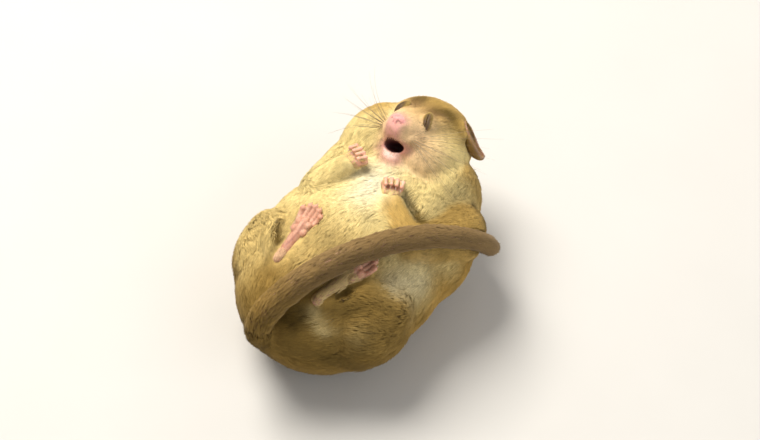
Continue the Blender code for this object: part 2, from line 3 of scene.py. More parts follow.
import bpy
import numpy as np
from mathutils import Matrix, Vector
from mathutils.bvhtree import BVHTree


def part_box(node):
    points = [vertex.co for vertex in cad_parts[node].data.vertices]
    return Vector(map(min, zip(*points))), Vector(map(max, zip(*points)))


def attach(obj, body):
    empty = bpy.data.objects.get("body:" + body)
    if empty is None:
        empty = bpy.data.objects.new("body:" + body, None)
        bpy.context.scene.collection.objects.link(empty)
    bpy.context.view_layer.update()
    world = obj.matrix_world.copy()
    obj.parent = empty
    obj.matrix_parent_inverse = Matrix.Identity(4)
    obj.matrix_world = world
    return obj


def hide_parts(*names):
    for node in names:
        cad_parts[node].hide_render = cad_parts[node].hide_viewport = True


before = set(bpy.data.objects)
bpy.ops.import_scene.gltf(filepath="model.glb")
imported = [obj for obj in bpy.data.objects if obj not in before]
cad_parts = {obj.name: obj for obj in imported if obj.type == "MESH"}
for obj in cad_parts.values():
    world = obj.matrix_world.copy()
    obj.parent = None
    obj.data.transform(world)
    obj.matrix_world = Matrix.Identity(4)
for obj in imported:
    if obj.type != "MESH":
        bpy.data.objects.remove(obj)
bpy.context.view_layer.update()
mm = 0.001
bodyOrigin = Vector((-0.25, 2.46, 15.7))  # the trunk's middle, in mm over the floor
sides = {"left": 1, "right": -1}
print("frame loaded,", len(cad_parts), "nodes")


# places: the body's are in mm, x to the animal's left, y to the head, z up, and the head, ears
# and paws have axes of their own

def bodyPoint(point):
    return (Vector(point) + bodyOrigin) * mm


headPose = {
    "centre": Vector((-2.6, 20.4, 8.0)),
    "look": Vector((-0.20, -0.55, 0.81)),
    "crown": Vector((-0.05, 0.83, 0.55)),
}


def makeHeadFrame():
    # forward, up and left of the head, in millimetres
    forward = headPose["look"].normalized()
    up = (headPose["crown"] - headPose["crown"].dot(forward) * forward).normalized()
    turn = Matrix((forward, up, up.cross(forward))).transposed().to_4x4()
    return Matrix.Translation(bodyPoint(headPose["centre"])) @ turn @ Matrix.Scale(mm, 4)


headFrame = makeHeadFrame()


def headSide(point, side):
    return Vector((point[0], point[1], point[2] * sides[side]))


def pawFrame(origin, along, out):
    # across, along and out of the palm or sole, in millimetres
    along = Vector(along).normalized()
    out = Vector(out)
    out = (out - out.dot(along) * along).normalized()
    turn = Matrix((along.cross(out), along, out)).transposed().to_4x4()
    return Matrix.Translation(bodyPoint(origin)) @ turn @ Matrix.Scale(mm, 4)


def inMillimetres(points, matrix):
    # points of the frame, on the axes of a matrix such as the head's
    back = np.array(matrix.inverted())
    return points @ back[:3, :3].T + back[:3, 3]


# small tools of the bench

def deselect():
    bpy.ops.object.select_all(action="DESELECT")


def pickOnly(obj):
    deselect()
    obj.select_set(True)
    bpy.context.view_layer.objects.active = obj


def withModifier(obj, kind, **settings):
    pickOnly(obj)
    modifier = obj.modifiers.new(kind.title(), kind)
    for key, value in settings.items():
        setattr(modifier, key, value)
    bpy.ops.object.modifier_apply(modifier=modifier.name)


def edited(obj, *steps):
    # runs the steps in edit mode, over the whole mesh
    pickOnly(obj)
    bpy.ops.object.mode_set(mode="EDIT")
    bpy.ops.mesh.select_all(action="SELECT")
    for step in steps:
        step()
    bpy.ops.object.mode_set(mode="OBJECT")


def pointInwardsOut():
    bpy.ops.mesh.normals_make_consistent(inside=False)


def joined(name, parts):
    pickOnly(parts[0])
    for part in parts:
        part.select_set(True)
    bpy.ops.object.join()
    return named(parts[0], name)


def named(obj, name):
    obj.name = name
    obj.data.name = name
    return obj


def linked(name, mesh):
    obj = bpy.data.objects.new(name, mesh)
    bpy.context.scene.collection.objects.link(obj)
    return obj


def uvBall(name, segments, rings):
    deselect()
    bpy.ops.mesh.primitive_uv_sphere_add(segments=segments, ring_count=rings, radius=1.0)
    return named(bpy.context.object, name)


def nodeCopy(name, scale=1.0):
    # a merged copy of a CAD node, grown or shrunk about its own middle
    copy = linked(name + "Copy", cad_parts[name].data.copy())
    low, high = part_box(name)
    middle = (low + high) / 2
    around = Matrix.Translation(middle) @ Matrix.Scale(scale, 4) @ Matrix.Translation(-middle)
    copy.data.transform(around)
    copy.data.materials.clear()
    edited(copy, lambda: bpy.ops.mesh.remove_doubles(threshold=0.000002))
    return copy


def settle(piece, finish, slot, *nodes):
    piece.data.materials.clear()
    piece.data.materials.append(finish)
    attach(piece, "root")
    if nodes:
        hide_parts(*nodes)
    print(piece.name, len(piece.data.polygons), "faces")


def pulled(items, key, width, kind=np.float64):
    values = np.empty(len(items) * width, kind)
    items.foreach_get(key, values)
    return values.reshape(-1, width)


def meshPoints(mesh):
    return pulled(mesh.vertices, "co", 3)


def movePoints(mesh, points):
    mesh.vertices.foreach_set("co", np.asarray(points, np.float64).ravel())
    mesh.update()


def meshNormals(mesh):
    return pulled(mesh.vertices, "normal", 3)


def meshTriangles(mesh):
    # the corners of each triangle, as points and as loops
    mesh.calc_loop_triangles()
    return [pulled(mesh.loop_triangles, key, 3, np.int64) for key in ("vertices", "loops")]


def meshEdges(mesh):
    return pulled(mesh.edges, "vertices", 2, np.int64)


def unit(vectors):
    return vectors / np.maximum(np.linalg.norm(vectors, axis=-1, keepdims=True), 1e-12)


def alongSurface(way, normals):
    return way - normals * np.sum(way * normals, axis=1, keepdims=True)


def lying(way, normals):
    return unit(alongSurface(way, normals) + 1e-6)


def rows(*channels):
    # one row for each point, from channels of which some may be plain numbers
    return np.stack(np.broadcast_arrays(*channels), 1)


def ease(value, start, end):
    t = np.clip((value - start) / (end - start), 0, 1)
    return t * t * (3 - 2 * t)


def beyond(value, start, end):
    return 1 - ease(value, start, end)


def distance(points, place):
    return np.linalg.norm(points - np.array(place), axis=1)


def alongLine(points, start, end):
    # how far along the line between two ends each point is, from 0 to 1, and how far from it
    start, end = np.array(start), np.array(end)
    run = end - start
    t = np.clip((points - start) @ run / (run @ run), 0, 1)
    return t, np.linalg.norm(points - start - t[:, None] * run, axis=1)


def nearMark(points, start, end, size):
    # how near each point is to a mark, from 0 to 1
    gap = alongLine(points, start, end)[1] / size
    return np.exp(-gap * gap)


def spread(values, edges, rounds):
    # evens a field out over the surface, a step along its edges each round
    count = len(values)
    degree = np.maximum(np.bincount(edges.ravel(), minlength=count), 1)
    for _ in range(rounds):
        for k in range(values.shape[1]):
            near = np.bincount(edges[:, 0], values[edges[:, 1], k], count)
            near += np.bincount(edges[:, 1], values[edges[:, 0], k], count)
            values[:, k] = 0.5 * values[:, k] + 0.5 * near / degree
    return values


def ripple(points, size, seed):
    # smooth waves with no pattern to them, from -1 to 1, of about that size in mm
    rng = np.random.default_rng(seed)
    total = np.zeros(len(points))
    for _ in range(6):
        wave = rng.normal(size=3)
        wave *= rng.uniform(0.7, 1.4) * 2 * math.pi / size / np.linalg.norm(wave)
        total += np.sin(points @ wave + rng.uniform(0, 6.28))
    return total / 3


def setTone(mesh, name, values):
    tone = np.zeros((len(values), 4), np.float32)
    tone[:, : values.shape[1]] = values
    layer = mesh.attributes.new(name, "FLOAT_COLOR", "POINT")
    layer.data.foreach_set("color", tone.ravel())


def unwrap(obj):
    edited(obj, lambda: bpy.ops.uv.smart_project(angle_limit=1.2, island_margin=0.001))
    obj.data.uv_layers[0].name = "OFBake"


# shaders

class Value:
    def __init__(self, finish, socket):
        self.finish = finish
        self.socket = socket

    def worked(self, operation, other):
        return self.finish.node("Math", {"operation": operation}, {0: self, 1: other})

    def __add__(self, other):
        return self.worked("ADD", other)

    def __mul__(self, other):
        return self.worked("MULTIPLY", other)

    __radd__ = __add__


class Finish:
    def __init__(self, name, **constants):
        self.material = bpy.data.materials.new(name)
        self.material.use_nodes = True
        self.tree = self.material.node_tree
        self.shader = self.tree.nodes["Principled BSDF"]
        for key, value in constants.items():
            self.shader.inputs[key.replace("_", " ")].default_value = value

    def node(self, kind, settings=None, inputs=None, output=0):
        made = self.tree.nodes.new("ShaderNode" + kind)
        for key, value in (settings or {}).items():
            setattr(made, key, value)
        for key, value in (inputs or {}).items():
            self.plug(made.inputs[key], value)
        return Value(self, made.outputs[output])

    def plug(self, socket, value):
        if isinstance(value, Value):
            self.tree.links.new(value.socket, socket)
        else:
            socket.default_value = value

    def tone(self, name):
        # the three channels and the alpha of a colour attribute
        made = self.tree.nodes.new("ShaderNodeAttribute")
        made.attribute_name = name
        parts = self.tree.nodes.new("ShaderNodeSeparateColor")
        self.tree.links.new(made.outputs["Color"], parts.inputs[0])
        return [Value(self, socket) for socket in (*parts.outputs, made.outputs["Alpha"])]

    def place(self):
        return self.node("TexCoord", output="Object")

    def grain(self, size, detail=3.0, roughness=0.5):
        # noise of about that size in mm
        inputs = {"Scale": 1000.0 / size, "Detail": detail, "Roughness": roughness}
        return self.node("TexNoise", None, {**inputs, "Vector": self.place()})

    def cells(self, size):
        inputs = {"Scale": 1000.0 / size, "Vector": self.place()}
        return self.node("TexVoronoi", None, inputs, "Distance")

    def blend(self, factor, first, second):
        settings = {"data_type": "RGBA", "clamp_factor": True}
        first = first if isinstance(first, Value) else (*first, 1.0)
        second = second if isinstance(second, Value) else (*second, 1.0)
        return self.node("Mix", settings, {0: factor, 6: first, 7: second}, 2)

    def shade(self, colour, amount):
        # a colour made lighter or darker by a number
        grey = self.node("CombineColor", None, {0: amount, 1: amount, 2: amount})
        settings = {"data_type": "RGBA", "blend_type": "MULTIPLY", "clamp_result": False}
        return self.node("Mix", settings, {0: 1.0, 6: colour, 7: grey}, 2)

    def within(self, value, low, high, newLow=0.0, newHigh=1.0):
        inputs = {0: value, 1: low, 2: high, 3: newLow, 4: newHigh}
        return self.node("MapRange", {"clamp": True}, inputs)

    def bump(self, height, distance, strength=1.0):
        inputs = {"Height": height, "Distance": distance * mm, "Strength": strength}
        return self.node("Bump", None, inputs)

    def feed(self, **inputs):
        for key, value in inputs.items():
            self.plug(self.shader.inputs[key.replace("_", " ")], value)
        return self.material


coatColours = {
    "cream": (0.88, 0.705, 0.31),
    "golden": (0.53, 0.32, 0.070),
    "olive": (0.165, 0.102, 0.018),
    "white": (0.94, 0.87, 0.62),
    "tail": (0.250, 0.158, 0.062),
    "pink": (0.78, 0.42, 0.34),
}
coatShades = {  # how light a tuft is at its foot and tip, and how much it varies
    "foot": 0.76,
    "tip": 1.02,
    "least": 0.91,
    "chance": 0.17,
    "clump": 0.18,
    "speck": (0.93, 1.06),
}
skinColours = {
    # the skin under the coat: the coat's colour darkened by this much, painted shade broken by
    # hair grain
    "shade": (0.70, 0.96),
    "flesh": (0.76, 0.37, 0.34),
    "paleFlesh": (0.90, 0.62, 0.57),
    "lid": (0.075, 0.042, 0.028),
    # the hollow of the open mouth is painted near black: painted shade
    "mouth": (0.055, 0.008, 0.012),
}


def coatColour(finish, last="pink"):
    golden, olive, white, pink = finish.tone("coatTone")
    colour = finish.blend(golden, coatColours["cream"], coatColours["golden"])
    colour = finish.blend(olive, colour, coatColours["olive"])
    colour = finish.blend(white, colour, coatColours["white"])
    return finish.blend(pink, colour, coatColours[last])


def makeCoatFinish(name, last="pink"):
    finish = Finish(name, Roughness=0.75, Specular_IOR_Level=0.25, Sheen_Weight=0.06,
                    Sheen_Roughness=0.45)
    along, chance, clump, _ = finish.tone("tuftTone")
    colour = coatColour(finish, last)
    light = finish.within(along, 0.0, 0.6, coatShades["foot"], coatShades["tip"])
    for varying, key in ((chance, "chance"), (clump, "clump")):
        light = light * (coatShades["least"] + varying * coatShades[key])
    light = light * finish.within(finish.grain(0.35, 2.0), 0.3, 0.7, *coatShades["speck"])
    return finish.feed(Base_Color=finish.shade(colour, light))


def makeSkinFinish():
    finish = Finish("skinFinish", Roughness=0.6, Subsurface_Weight=0.1,
                    Subsurface_Scale=0.4 * mm)
    mouth, lid, lip, pale = finish.tone("skinTone")
    hair = finish.grain(0.22, 4.0, 0.65)
    wave = finish.grain(1.3, 3.0)
    # painted shade: the skin under the coat darkened, broken by a hair grain
    shade = finish.within(hair, 0.3, 0.7, *skinColours["shade"])
    colour = finish.shade(coatColour(finish), shade)
    flesh = finish.blend(pale, skinColours["flesh"], skinColours["paleFlesh"])
    colour = finish.blend(lip * finish.within(wave, 0.3, 0.7, 0.85, 1.0), colour, flesh)
    colour = finish.blend(lid, colour, skinColours["lid"])
    # painted shade: the hollow of the open mouth near black
    colour = finish.blend(mouth, colour, skinColours["mouth"])
    return finish.feed(Base_Color=colour, Normal=finish.bump(hair, 0.12, 0.8))


def plainFinish(name, size, colours, detail=3.0, **constants):
    # two colours in spots of about that size in mm
    finish = Finish(name, **constants)
    return finish.feed(Base_Color=finish.blend(finish.grain(size, detail), *colours))


# round forms: balls strung together and fused into one skin

def makeBall():
    ball = uvBall("ball", 14, 10)
    points = meshPoints(ball.data)
    corners, _ = meshTriangles(ball.data)
    bpy.data.objects.remove(ball)
    return points, corners


ballPoints, ballCorners = makeBall()


def strung(stations, spacing=0.35):
    # balls close together along a row of (place, radius) stations
    balls = []
    for (start, startRadius), (end, endRadius) in zip(stations, stations[1:]):
        start, end = Vector(start), Vector(end)
        steps = max(2, int((end - start).length / (spacing * min(startRadius, endRadius))))
        for k in range(steps + 1):
            t = k / steps
            radius = startRadius + (endRadius - startRadius) * t
            balls.append((start.lerp(end, t), (radius,) * 3))
    return balls


def looseBalls(name, balls, matrix):
    # the balls as one mesh, placed from the millimetres of the matrix
    points = [ballPoints * np.array(halves) + np.array(centre) for centre, halves in balls]
    corners = [ballCorners + k * len(ballPoints) for k in range(len(balls))]
    mesh = bpy.data.meshes.new(name)
    mesh.from_pydata(np.concatenate(points).tolist(), [], np.concatenate(corners).tolist())
    mesh.transform(matrix)
    if matrix.is_negative:  # the head's mirrors them
        mesh.flip_normals()
    return linked(name, mesh)


def bodyBalls(name, stations):
    balls = strung([(Vector(place) + bodyOrigin, radius) for place, radius in stations])
    return looseBalls(name, balls, Matrix.Scale(mm, 4))


def fusedBalls(name, balls, matrix, grain, smoothing):
    # one smooth skin over all the balls
    obj = looseBalls(name, balls, matrix)
    withModifier(obj, "REMESH", mode="VOXEL", voxel_size=grain * mm)
    withModifier(obj, "SMOOTH", factor=0.5, iterations=smoothing)
    obj.data.shade_smooth()
    return obj


# the tail's middle line

tailSettings = {
    "line": ((-1.0, -25.0, -5.0), (-1.6, -30.0, -1.4), (-1.1, -32.6, 4.8), (0.1, -30.6, 10.4),
             (2.3, -25.4, 14.2), (4.7, -19.6, 16.0), (7.7, -14.0, 17.2), (10.6, -8.5, 16.7),
             (13.4, -3.4, 15.3), (16.1, 1.5, 12.6), (18.4, 6.2, 8.8), (19.8, 10.2, 4.2),
             (19.7, 13.4, -1.0), (17.8, 15.8, -5.7), (14.6, 17.2, -9.4)),
    "radii": (2.9, 2.4, 1.4),
    "depth": 0.80,
    "steps": 90,
    "base": 0.13,  # the share of the line whose flesh is one with the rump
    "rounded": 0.97,  # the share of the line where its tip closes in
    "samples": 240,
}


def tailPoint(t):
    # a smooth curve through the points of the line
    points = tailSettings["line"]
    spans = len(points) - 1
    at = min(max(t, 0.0), 1.0) * spans
    i = min(int(at), spans - 1)
    u = at - i
    p = [Vector(points[min(max(k, 0), spans)]) for k in (i - 1, i, i + 1, i + 2)]
    bent = 2 * p[1] + (p[2] - p[0]) * u + (2 * p[0] - 5 * p[1] + 4 * p[2] - p[3]) * u**2
    return 0.5 * (bent + (3 * p[1] - p[0] - 3 * p[2] + p[3]) * u**3)


def tailRadius(t):
    root, middle, tip = tailSettings["radii"]
    if t < 0.5:
        return root + (middle - root) * t / 0.5
    return middle + (tip - middle) * ((t - 0.5) / 0.5) ** 1.6


def alongTail(points):
    # the tail's direction beside each point, the share of its line there, and how far it is
    count = tailSettings["samples"]
    line = np.array([list(bodyPoint(tailPoint(k / count))) for k in range(count + 1)])
    run = unit(np.gradient(line, axis=0))
    near = np.array([np.argmin(np.sum((line - p) ** 2, axis=1)) for p in points])
    gap = np.linalg.norm(points - line[near], axis=1) / mm
    return run[near], near / count, gap


# the forms that the skin goes round

eyePlace = ((7.0, 3.3, 3.1), 2.3)
nosePlace = ((12.3, 1.0, 0.0), (1.5, 1.35, 1.75))
mouthPlace = ((10.2, -3.65, 0.35), (4.6, 1.0, 2.4))
mouthRoll = Matrix.Rotation(math.radians(-13.0), 3, "X")
whiskerPad = ((9.4, -0.9, 3.35), (1.7, 1.2, 1.5))
lidAxes = {"out": (0.95, 0.08, 0.30), "run": (-0.10, 0.92, -0.30)}  # to the slit, and along it
earSettings = {
    "root": (0.2, 6.4, 6.2),
    "run": (-0.80, -0.42, 0.26),
    "face": (-0.28, 0.74, 0.61),
    "half": (3.8, 4.7, 1.5),
    "wall": 0.32,
    "cut": 0.32,  # the share of the ball's height where the cup is open
    "base": ((0.0, -0.5, -0.5, 1.0), (1.2, -0.2, -0.5, 0.95), (-1.2, -0.2, -0.5, 0.95),
             (2.3, 0.7, -0.4, 0.85), (-2.3, 0.7, -0.4, 0.85), (0.0, 0.8, -0.9, 1.2)),
}
fistSettings = {
    "left": {"wrist": (3.2, 1.6, 13.2), "knuckles": (2.0, 4.0, 13.8),
             "reach": (-0.46, 0.86, 0.22), "out": (0.35, -0.25, 1.0),
             "furry": (0.2, 1.5), "hair": (0.15, 0.05, 0, 0.15)},
    "right": {"wrist": (-8.4, 2.6, 13.9), "knuckles": (-7.5, 5.0, 14.5),
              "reach": (0.34, 0.92, 0.20), "out": (-0.1, -0.25, 1.0),
              "furry": (0.2, 1.5), "hair": (0.15, 0.05, 0, 0.15)},
    "edge": ((-0.3, 0.4), (2.0, 3.4)),  # the hair at its edge: which way that faces, how far on
    "spread": (-1.65, -0.56, 0.56, 1.65),
    "finger": 0.5,
    "bed": (((0, -0.6, -0.8), (1.60, 1.6, 1.55)), ((0, 1.6, -0.55), (2.05, 2.0, 1.15))),
}
footSettings = {
    "left": {"heel": (6.0, -23.6, 10.6), "toes": (9.4, -11.2, 13.6),
             "furry": (7.0, 8.6), "hair": (0.30, 0.05, 0, 0.15)},
    "right": {"heel": (-5.4, -21.4, 10.8), "toes": (-6.0, -9.6, 14.4),
              "furry": (0.6, 2.2), "hair": (0.30, 0.05, 0, 0.55)},
    "edge": ((-0.2, 0.45), (8.0, 11.0)),
    "out": (0.10, -0.2, 1.0),
    "width": 3.3,
    "front": 3.6,  # from the tips of the toes back to the ball of the foot
    "spread": (-1.65, -0.85, 0.0, 0.85, 1.6),
    "length": (2.2, 3.3, 3.6, 3.3, 2.4),
    "toe": 0.62,
    "pads": ((0.98, -1.95, 0.75), (-0.98, -1.95, 0.75), (0.98, -0.25, 0.66), (0.0, 0.3, 0.62),
             (-0.98, -0.25, 0.66)),
    "claw": 1.1,
    "bed": (1.42, -0.55),  # the radius of the skin under it, and how low that lies
}


def earFrame(side):
    sign = sides[side]
    run = Vector(earSettings["run"])
    face = Vector(earSettings["face"])
    run = Vector((run.x, run.y, sign * run.z)).normalized()
    face = Vector((face.x, face.y, sign * face.z))
    face = (face - face.dot(run) * run).normalized()
    turn = Matrix((run.cross(face), run, face)).transposed().to_4x4()
    return headFrame @ Matrix.Translation(headSide(earSettings["root"], side)) @ turn


def fistFrame(side):
    fist = fistSettings[side]
    return pawFrame(fist["wrist"], fist["reach"], fist["out"])


def footFrame(side):
    # the matrix of a foot, and how far along it its ball is
    foot = footSettings[side]
    along = Vector(foot["toes"]) - Vector(foot["heel"])
    matrix = pawFrame(foot["heel"], along, footSettings["out"])
    return matrix, along.length - footSettings["front"]


def lidFrame(side):
    # along the closed lids, across them and out of the head, on the head's own axes
    out = headSide(lidAxes["out"], side).normalized()
    run = headSide(lidAxes["run"], side)
    along = (run - run.dot(out) * out).normalized()
    return along, out.cross(along), out


def mouthDepth(head):
    # 1 on the hollow of the open mouth, less within, for points in the head's millimetres
    centre, halves = (np.array(v) for v in mouthPlace)
    turned = (head - centre) @ np.array(mouthRoll)
    return np.linalg.norm(turned / (halves + 0.10), axis=1)


# the flesh under the coat

skinSettings = {
    "parts": ("torso", "neck", "head", "lower_jaw", "foreleg_left", "foreleg_right",
              "hindleg_left", "hindleg_right"),
    "fill": {"eye_left": 0.97, "eye_right": 0.97, "nose": 0.9},
    "fold": (((9.9, -17.8, 10.6), 1.2), ((11.0, -14.3, 11.1), 1.3)),  # beside the left foot
    "close": 0.22,  # mm that closes the gaps between the parts
    "grain": 0.36,
    "smoothing": 3,
    "lowest": 0.45,  # how close to the floor it comes
}


def makeBeds():
    # skin that closes up under the paws and beside them
    beds = []
    for side in sides:
        beds.append(looseBalls("bed", fistSettings["bed"], fistFrame(side)))
        matrix, ball = footFrame(side)
        radius, low = footSettings["bed"]
        balls = strung([((0, 0.35, low), radius), ((0, ball - 0.6, low), radius)])
        balls.append(((0, ball - 0.8, low), (footSettings["width"] / 2 + 0.35, 2.0, 1.0)))
        balls.append(((0, ball + 1.8, low - 0.2), (2.3, 2.2, 0.7)))
        beds.append(looseBalls("bed", balls, matrix))
    return beds


def makeSkin():
    parts = [nodeCopy(name) for name in skinSettings["parts"]]
    parts += [nodeCopy(name, scale) for name, scale in skinSettings["fill"].items()]
    pads = [(headSide(whiskerPad[0], side), whiskerPad[1]) for side in sides]
    parts.append(looseBalls("pads", pads, headFrame))
    for side in sides:
        around = [((x, y, z), (radius,) * 3) for x, y, z, radius in earSettings["base"]]
        parts.append(looseBalls("earBase", around, earFrame(side)))
    steps = [k / 16 * tailSettings["base"] for k in range(17)]
    parts.append(bodyBalls("tailBase", [(tailPoint(t), tailRadius(t)) for t in steps]))
    parts.append(bodyBalls("fold", skinSettings["fold"]))
    parts += makeBeds()
    skin = joined("skin", parts)
    withModifier(skin, "DISPLACE", strength=skinSettings["close"] * mm, mid_level=0.0)
    withModifier(skin, "REMESH", mode="VOXEL", voxel_size=skinSettings["grain"] * mm)
    withModifier(skin, "SMOOTH", factor=0.5, iterations=skinSettings["smoothing"])
    return skin


def partIndex(name):
    return skinSettings["parts"].index(name)


def nearestNode(points):
    # which CAD part each point belongs to
    places, faces, owner = [], [], []
    for index, name in enumerate(skinSettings["parts"]):
        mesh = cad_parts[name].data
        corners, _ = meshTriangles(mesh)
        faces.append(corners + sum(len(p) for p in places))
        places.append(meshPoints(mesh))
        owner += [index] * len(corners)
    tree = BVHTree.FromPolygons(np.concatenate(places).tolist(), np.concatenate(faces).tolist())
    return np.array([owner[tree.find_nearest(p)[2]] for p in points.tolist()])


def alongLimb(points, joints):
    # the limb's direction at each point, and how far down the limb the point is, from 0 to 1
    joints = np.array([list(bodyPoint(j)) for j in joints])
    best = np.full(len(points), 1e9)
    way = np.zeros_like(points)
    share = np.zeros(len(points))
    for k, (start, end) in enumerate(zip(joints, joints[1:])):
        t, gap = alongLine(points, start, end)
        near = gap < best
        best[near] = gap[near]
        way[near] = unit(end - start)
        share[near] = (k + t[near]) / (len(joints) - 1)
    return way, share


# the bare places of the face

bareSettings = {
    "mouth": (0.92, 1.08),  # from the hollow to its rim, in shares of the mouth
    "lips": (1.15, 1.7, 0.9),
    "nose": (1.05, 1.5),
    "philtrum": {"half": (1.2, 2.3), "top": (0.6, 2.0), "from": 8.5, "down": -3.2, "share": 0.95},
    "lowerLip": {"place": (9.6, -5.6, 0.3), "half": (2.6, 1.2, 2.3), "share": 0.8},
    "lid": {"half": (2.3, 1.15), "edge": (0.7, 1.25)},
}


def bareShares(at):
    # how much of each point is mouth, lid, bare lip and pale lip
    head, isHead = at["head"], at["isHead"]
    bare = np.zeros((len(head), 4))
    inside = mouthDepth(head)
    # the hollow of the open mouth, where it gets painted shade
    bare[:, 0] = beyond(inside, *bareSettings["mouth"])
    near, far, share = bareSettings["lips"]
    lips = share * beyond(inside, near, far) * (head[:, 0] > 7.0)
    centre, halves = (np.array(v) for v in nosePlace)
    nose = beyond(np.linalg.norm((head - centre) / halves, axis=1), *bareSettings["nose"])
    groove = bareSettings["philtrum"]
    philtrum = beyond(np.abs(head[:, 2]), *groove["half"]) * beyond(head[:, 1], *groove["top"])
    philtrum = philtrum * (head[:, 0] > groove["from"]) * (head[:, 1] > groove["down"])
    lower = bareSettings["lowerLip"]
    gap = np.linalg.norm((head - np.array(lower["place"])) / np.array(lower["half"]), axis=1)
    bare[:, 3] = beyond(gap, 0.7, 1.3)
    for share in (lips, nose, groove["share"] * philtrum, lower["share"] * bare[:, 3]):
        bare[:, 2] = np.maximum(bare[:, 2], share)
    long, wide = bareSettings["lid"]["half"]
    for side in sides:
        along, across, _ = lidFrame(side)
        spot = head - np.array(headSide(eyePlace[0], side))
        gap = np.hypot(spot @ np.array(along) / long, spot @ np.array(across) / wide)
        near = np.linalg.norm(spot, axis=1) < eyePlace[1] + 1.0
        lid = beyond(gap, *bareSettings["lid"]["edge"]) * near
        bare[:, 1] = np.maximum(bare[:, 1], lid)
    bare[:, 1] *= isHead
    return bare


# how the coat lies, and how deep it is

limbs = {
    "foreleg_left": ((13.4, 9.6, 2.5), (11.2, -3.2, 9.4), (3.2, 1.6, 13.2)),
    "foreleg_right": ((-12.6, 9.4, 2.0), (-11.2, -3.2, 9.4), (-8.4, 2.6, 13.9)),
    "hindleg_left": ((15.2, -13.0, 2.0), (11.6, -15.8, 8.8), (6.7, -22.0, 9.4)),
    "hindleg_right": ((-14.2, -13.0, 2.0), (-10.6, -15.2, 8.8), (-6.2, -20.4, 9.6)),
}
laySettings = {
    "rump": (-1.4, -31.5, 2.0),  # where the coat of the rump runs together
    "thigh": (-0.12, -0.80, 0.55),
    "shank": 0.65,  # how much of the shank's direction its coat takes
    "spreading": {"way": 120, "depth": 14, "tone": 5},
}
depthSettings = {
    "parts": {"torso": 0.66, "neck": 0.66, "head": 0.52, "lower_jaw": 0.28, "foreleg_left": 0.50,
              "foreleg_right": 0.50, "hindleg_left": 0.75, "hindleg_right": 0.75},
    "limbEnd": 0.45,  # how much shallower it is at the end of a limb, and so on
    "face": 0.70,
    "short": 0.75,
    "bare": (0.9, 0.5, 0.7),  # in the mouth, on the lids, on the lips
    "ear": ((-3.2, 4.6, 7.3), 4.8, 6.6),
    "paw": (2.2, 3.6),
}


def coatWay(at):
    # down the trunk and the limbs, back from the nose, and down the tail from its root
    body, head, isHead = at["body"], at["head"], at["isHead"]
    trunk = ~isHead
    way = np.zeros_like(body)
    rise = 0.30 * beyond(body[:, 2], 6.0, 12.0)
    lengthways = rows(0.10 * np.sign(body[:, 0]), -1.0, rise)
    homeward = unit(np.array(laySettings["rump"]) - body)
    rump = ease(-body[:, 1], 19.0, 28.0)[:, None]
    way[trunk] = (lengthways * (1 - rump) + homeward * rump)[trunk]
    headward = np.array(headFrame)[:3, :3]
    headward = headward / np.linalg.norm(headward, axis=0)
    around = rows(-1.0, 0.06 * head[:, 1], 0.06 * head[:, 2])
    way[isHead] = (around @ headward.T)[isHead]
    for name, (mine, run, _) in at["limbs"].items():
        if name.startswith("hind"):
            across, back, up = laySettings["thigh"]
            thigh = unit(np.array([across * sides[name.split("_")[1]], back, up]))
            shank = laySettings["shank"] * ease(body[mine][:, 2], 4.0, 9.0)[:, None]
            run = unit(thigh * (1 - shank) + run * shank)
        way[mine] = run
    tailRun, tailShare, tailGap = alongTail(at["points"])
    onTail = beyond(tailGap, 3.0, 4.6) * (tailShare < 0.3) * (body[:, 2] > -4) * trunk
    return way * (1 - onTail[:, None]) + tailRun * onTail[:, None], onTail


def coatDepth(at, bare, front):
    body, head = at["body"], at["head"]
    names, short = skinSettings["parts"], depthSettings["short"]
    depth = np.array([depthSettings["parts"][name] for name in names])[at["owner"]]
    for mine, _, share in at["limbs"].values():
        depth[mine] *= 1 - depthSettings["limbEnd"] * ease(share, 0.6, 1.0)
    depth = depth * (1 - depthSettings["face"] * front)
    root, near, far = depthSettings["ear"]
    for side in sides:  # it is short round the root of the ear
        gap = distance(head, headSide(root, side))
        depth = depth * (1 - short * beyond(gap, near, far))
    pawLines = [(fistSettings[side]["wrist"], fistSettings[side]["knuckles"]) for side in sides]
    pawLines += [(footSettings[side]["heel"], footSettings[side]["toes"]) for side in sides]
    for start, end in pawLines:  # and beside the paws, so that it closes up to them
        _, gap = alongLine(body, start, end)
        depth = depth * (1 - short * beyond(gap, *depthSettings["paw"]))
    mouth, lid, lip = depthSettings["bare"]
    return depth * (1 - lid * bare[:, 1]) * (1 - lip * bare[:, 2]) * (1 - mouth * bare[:, 0])
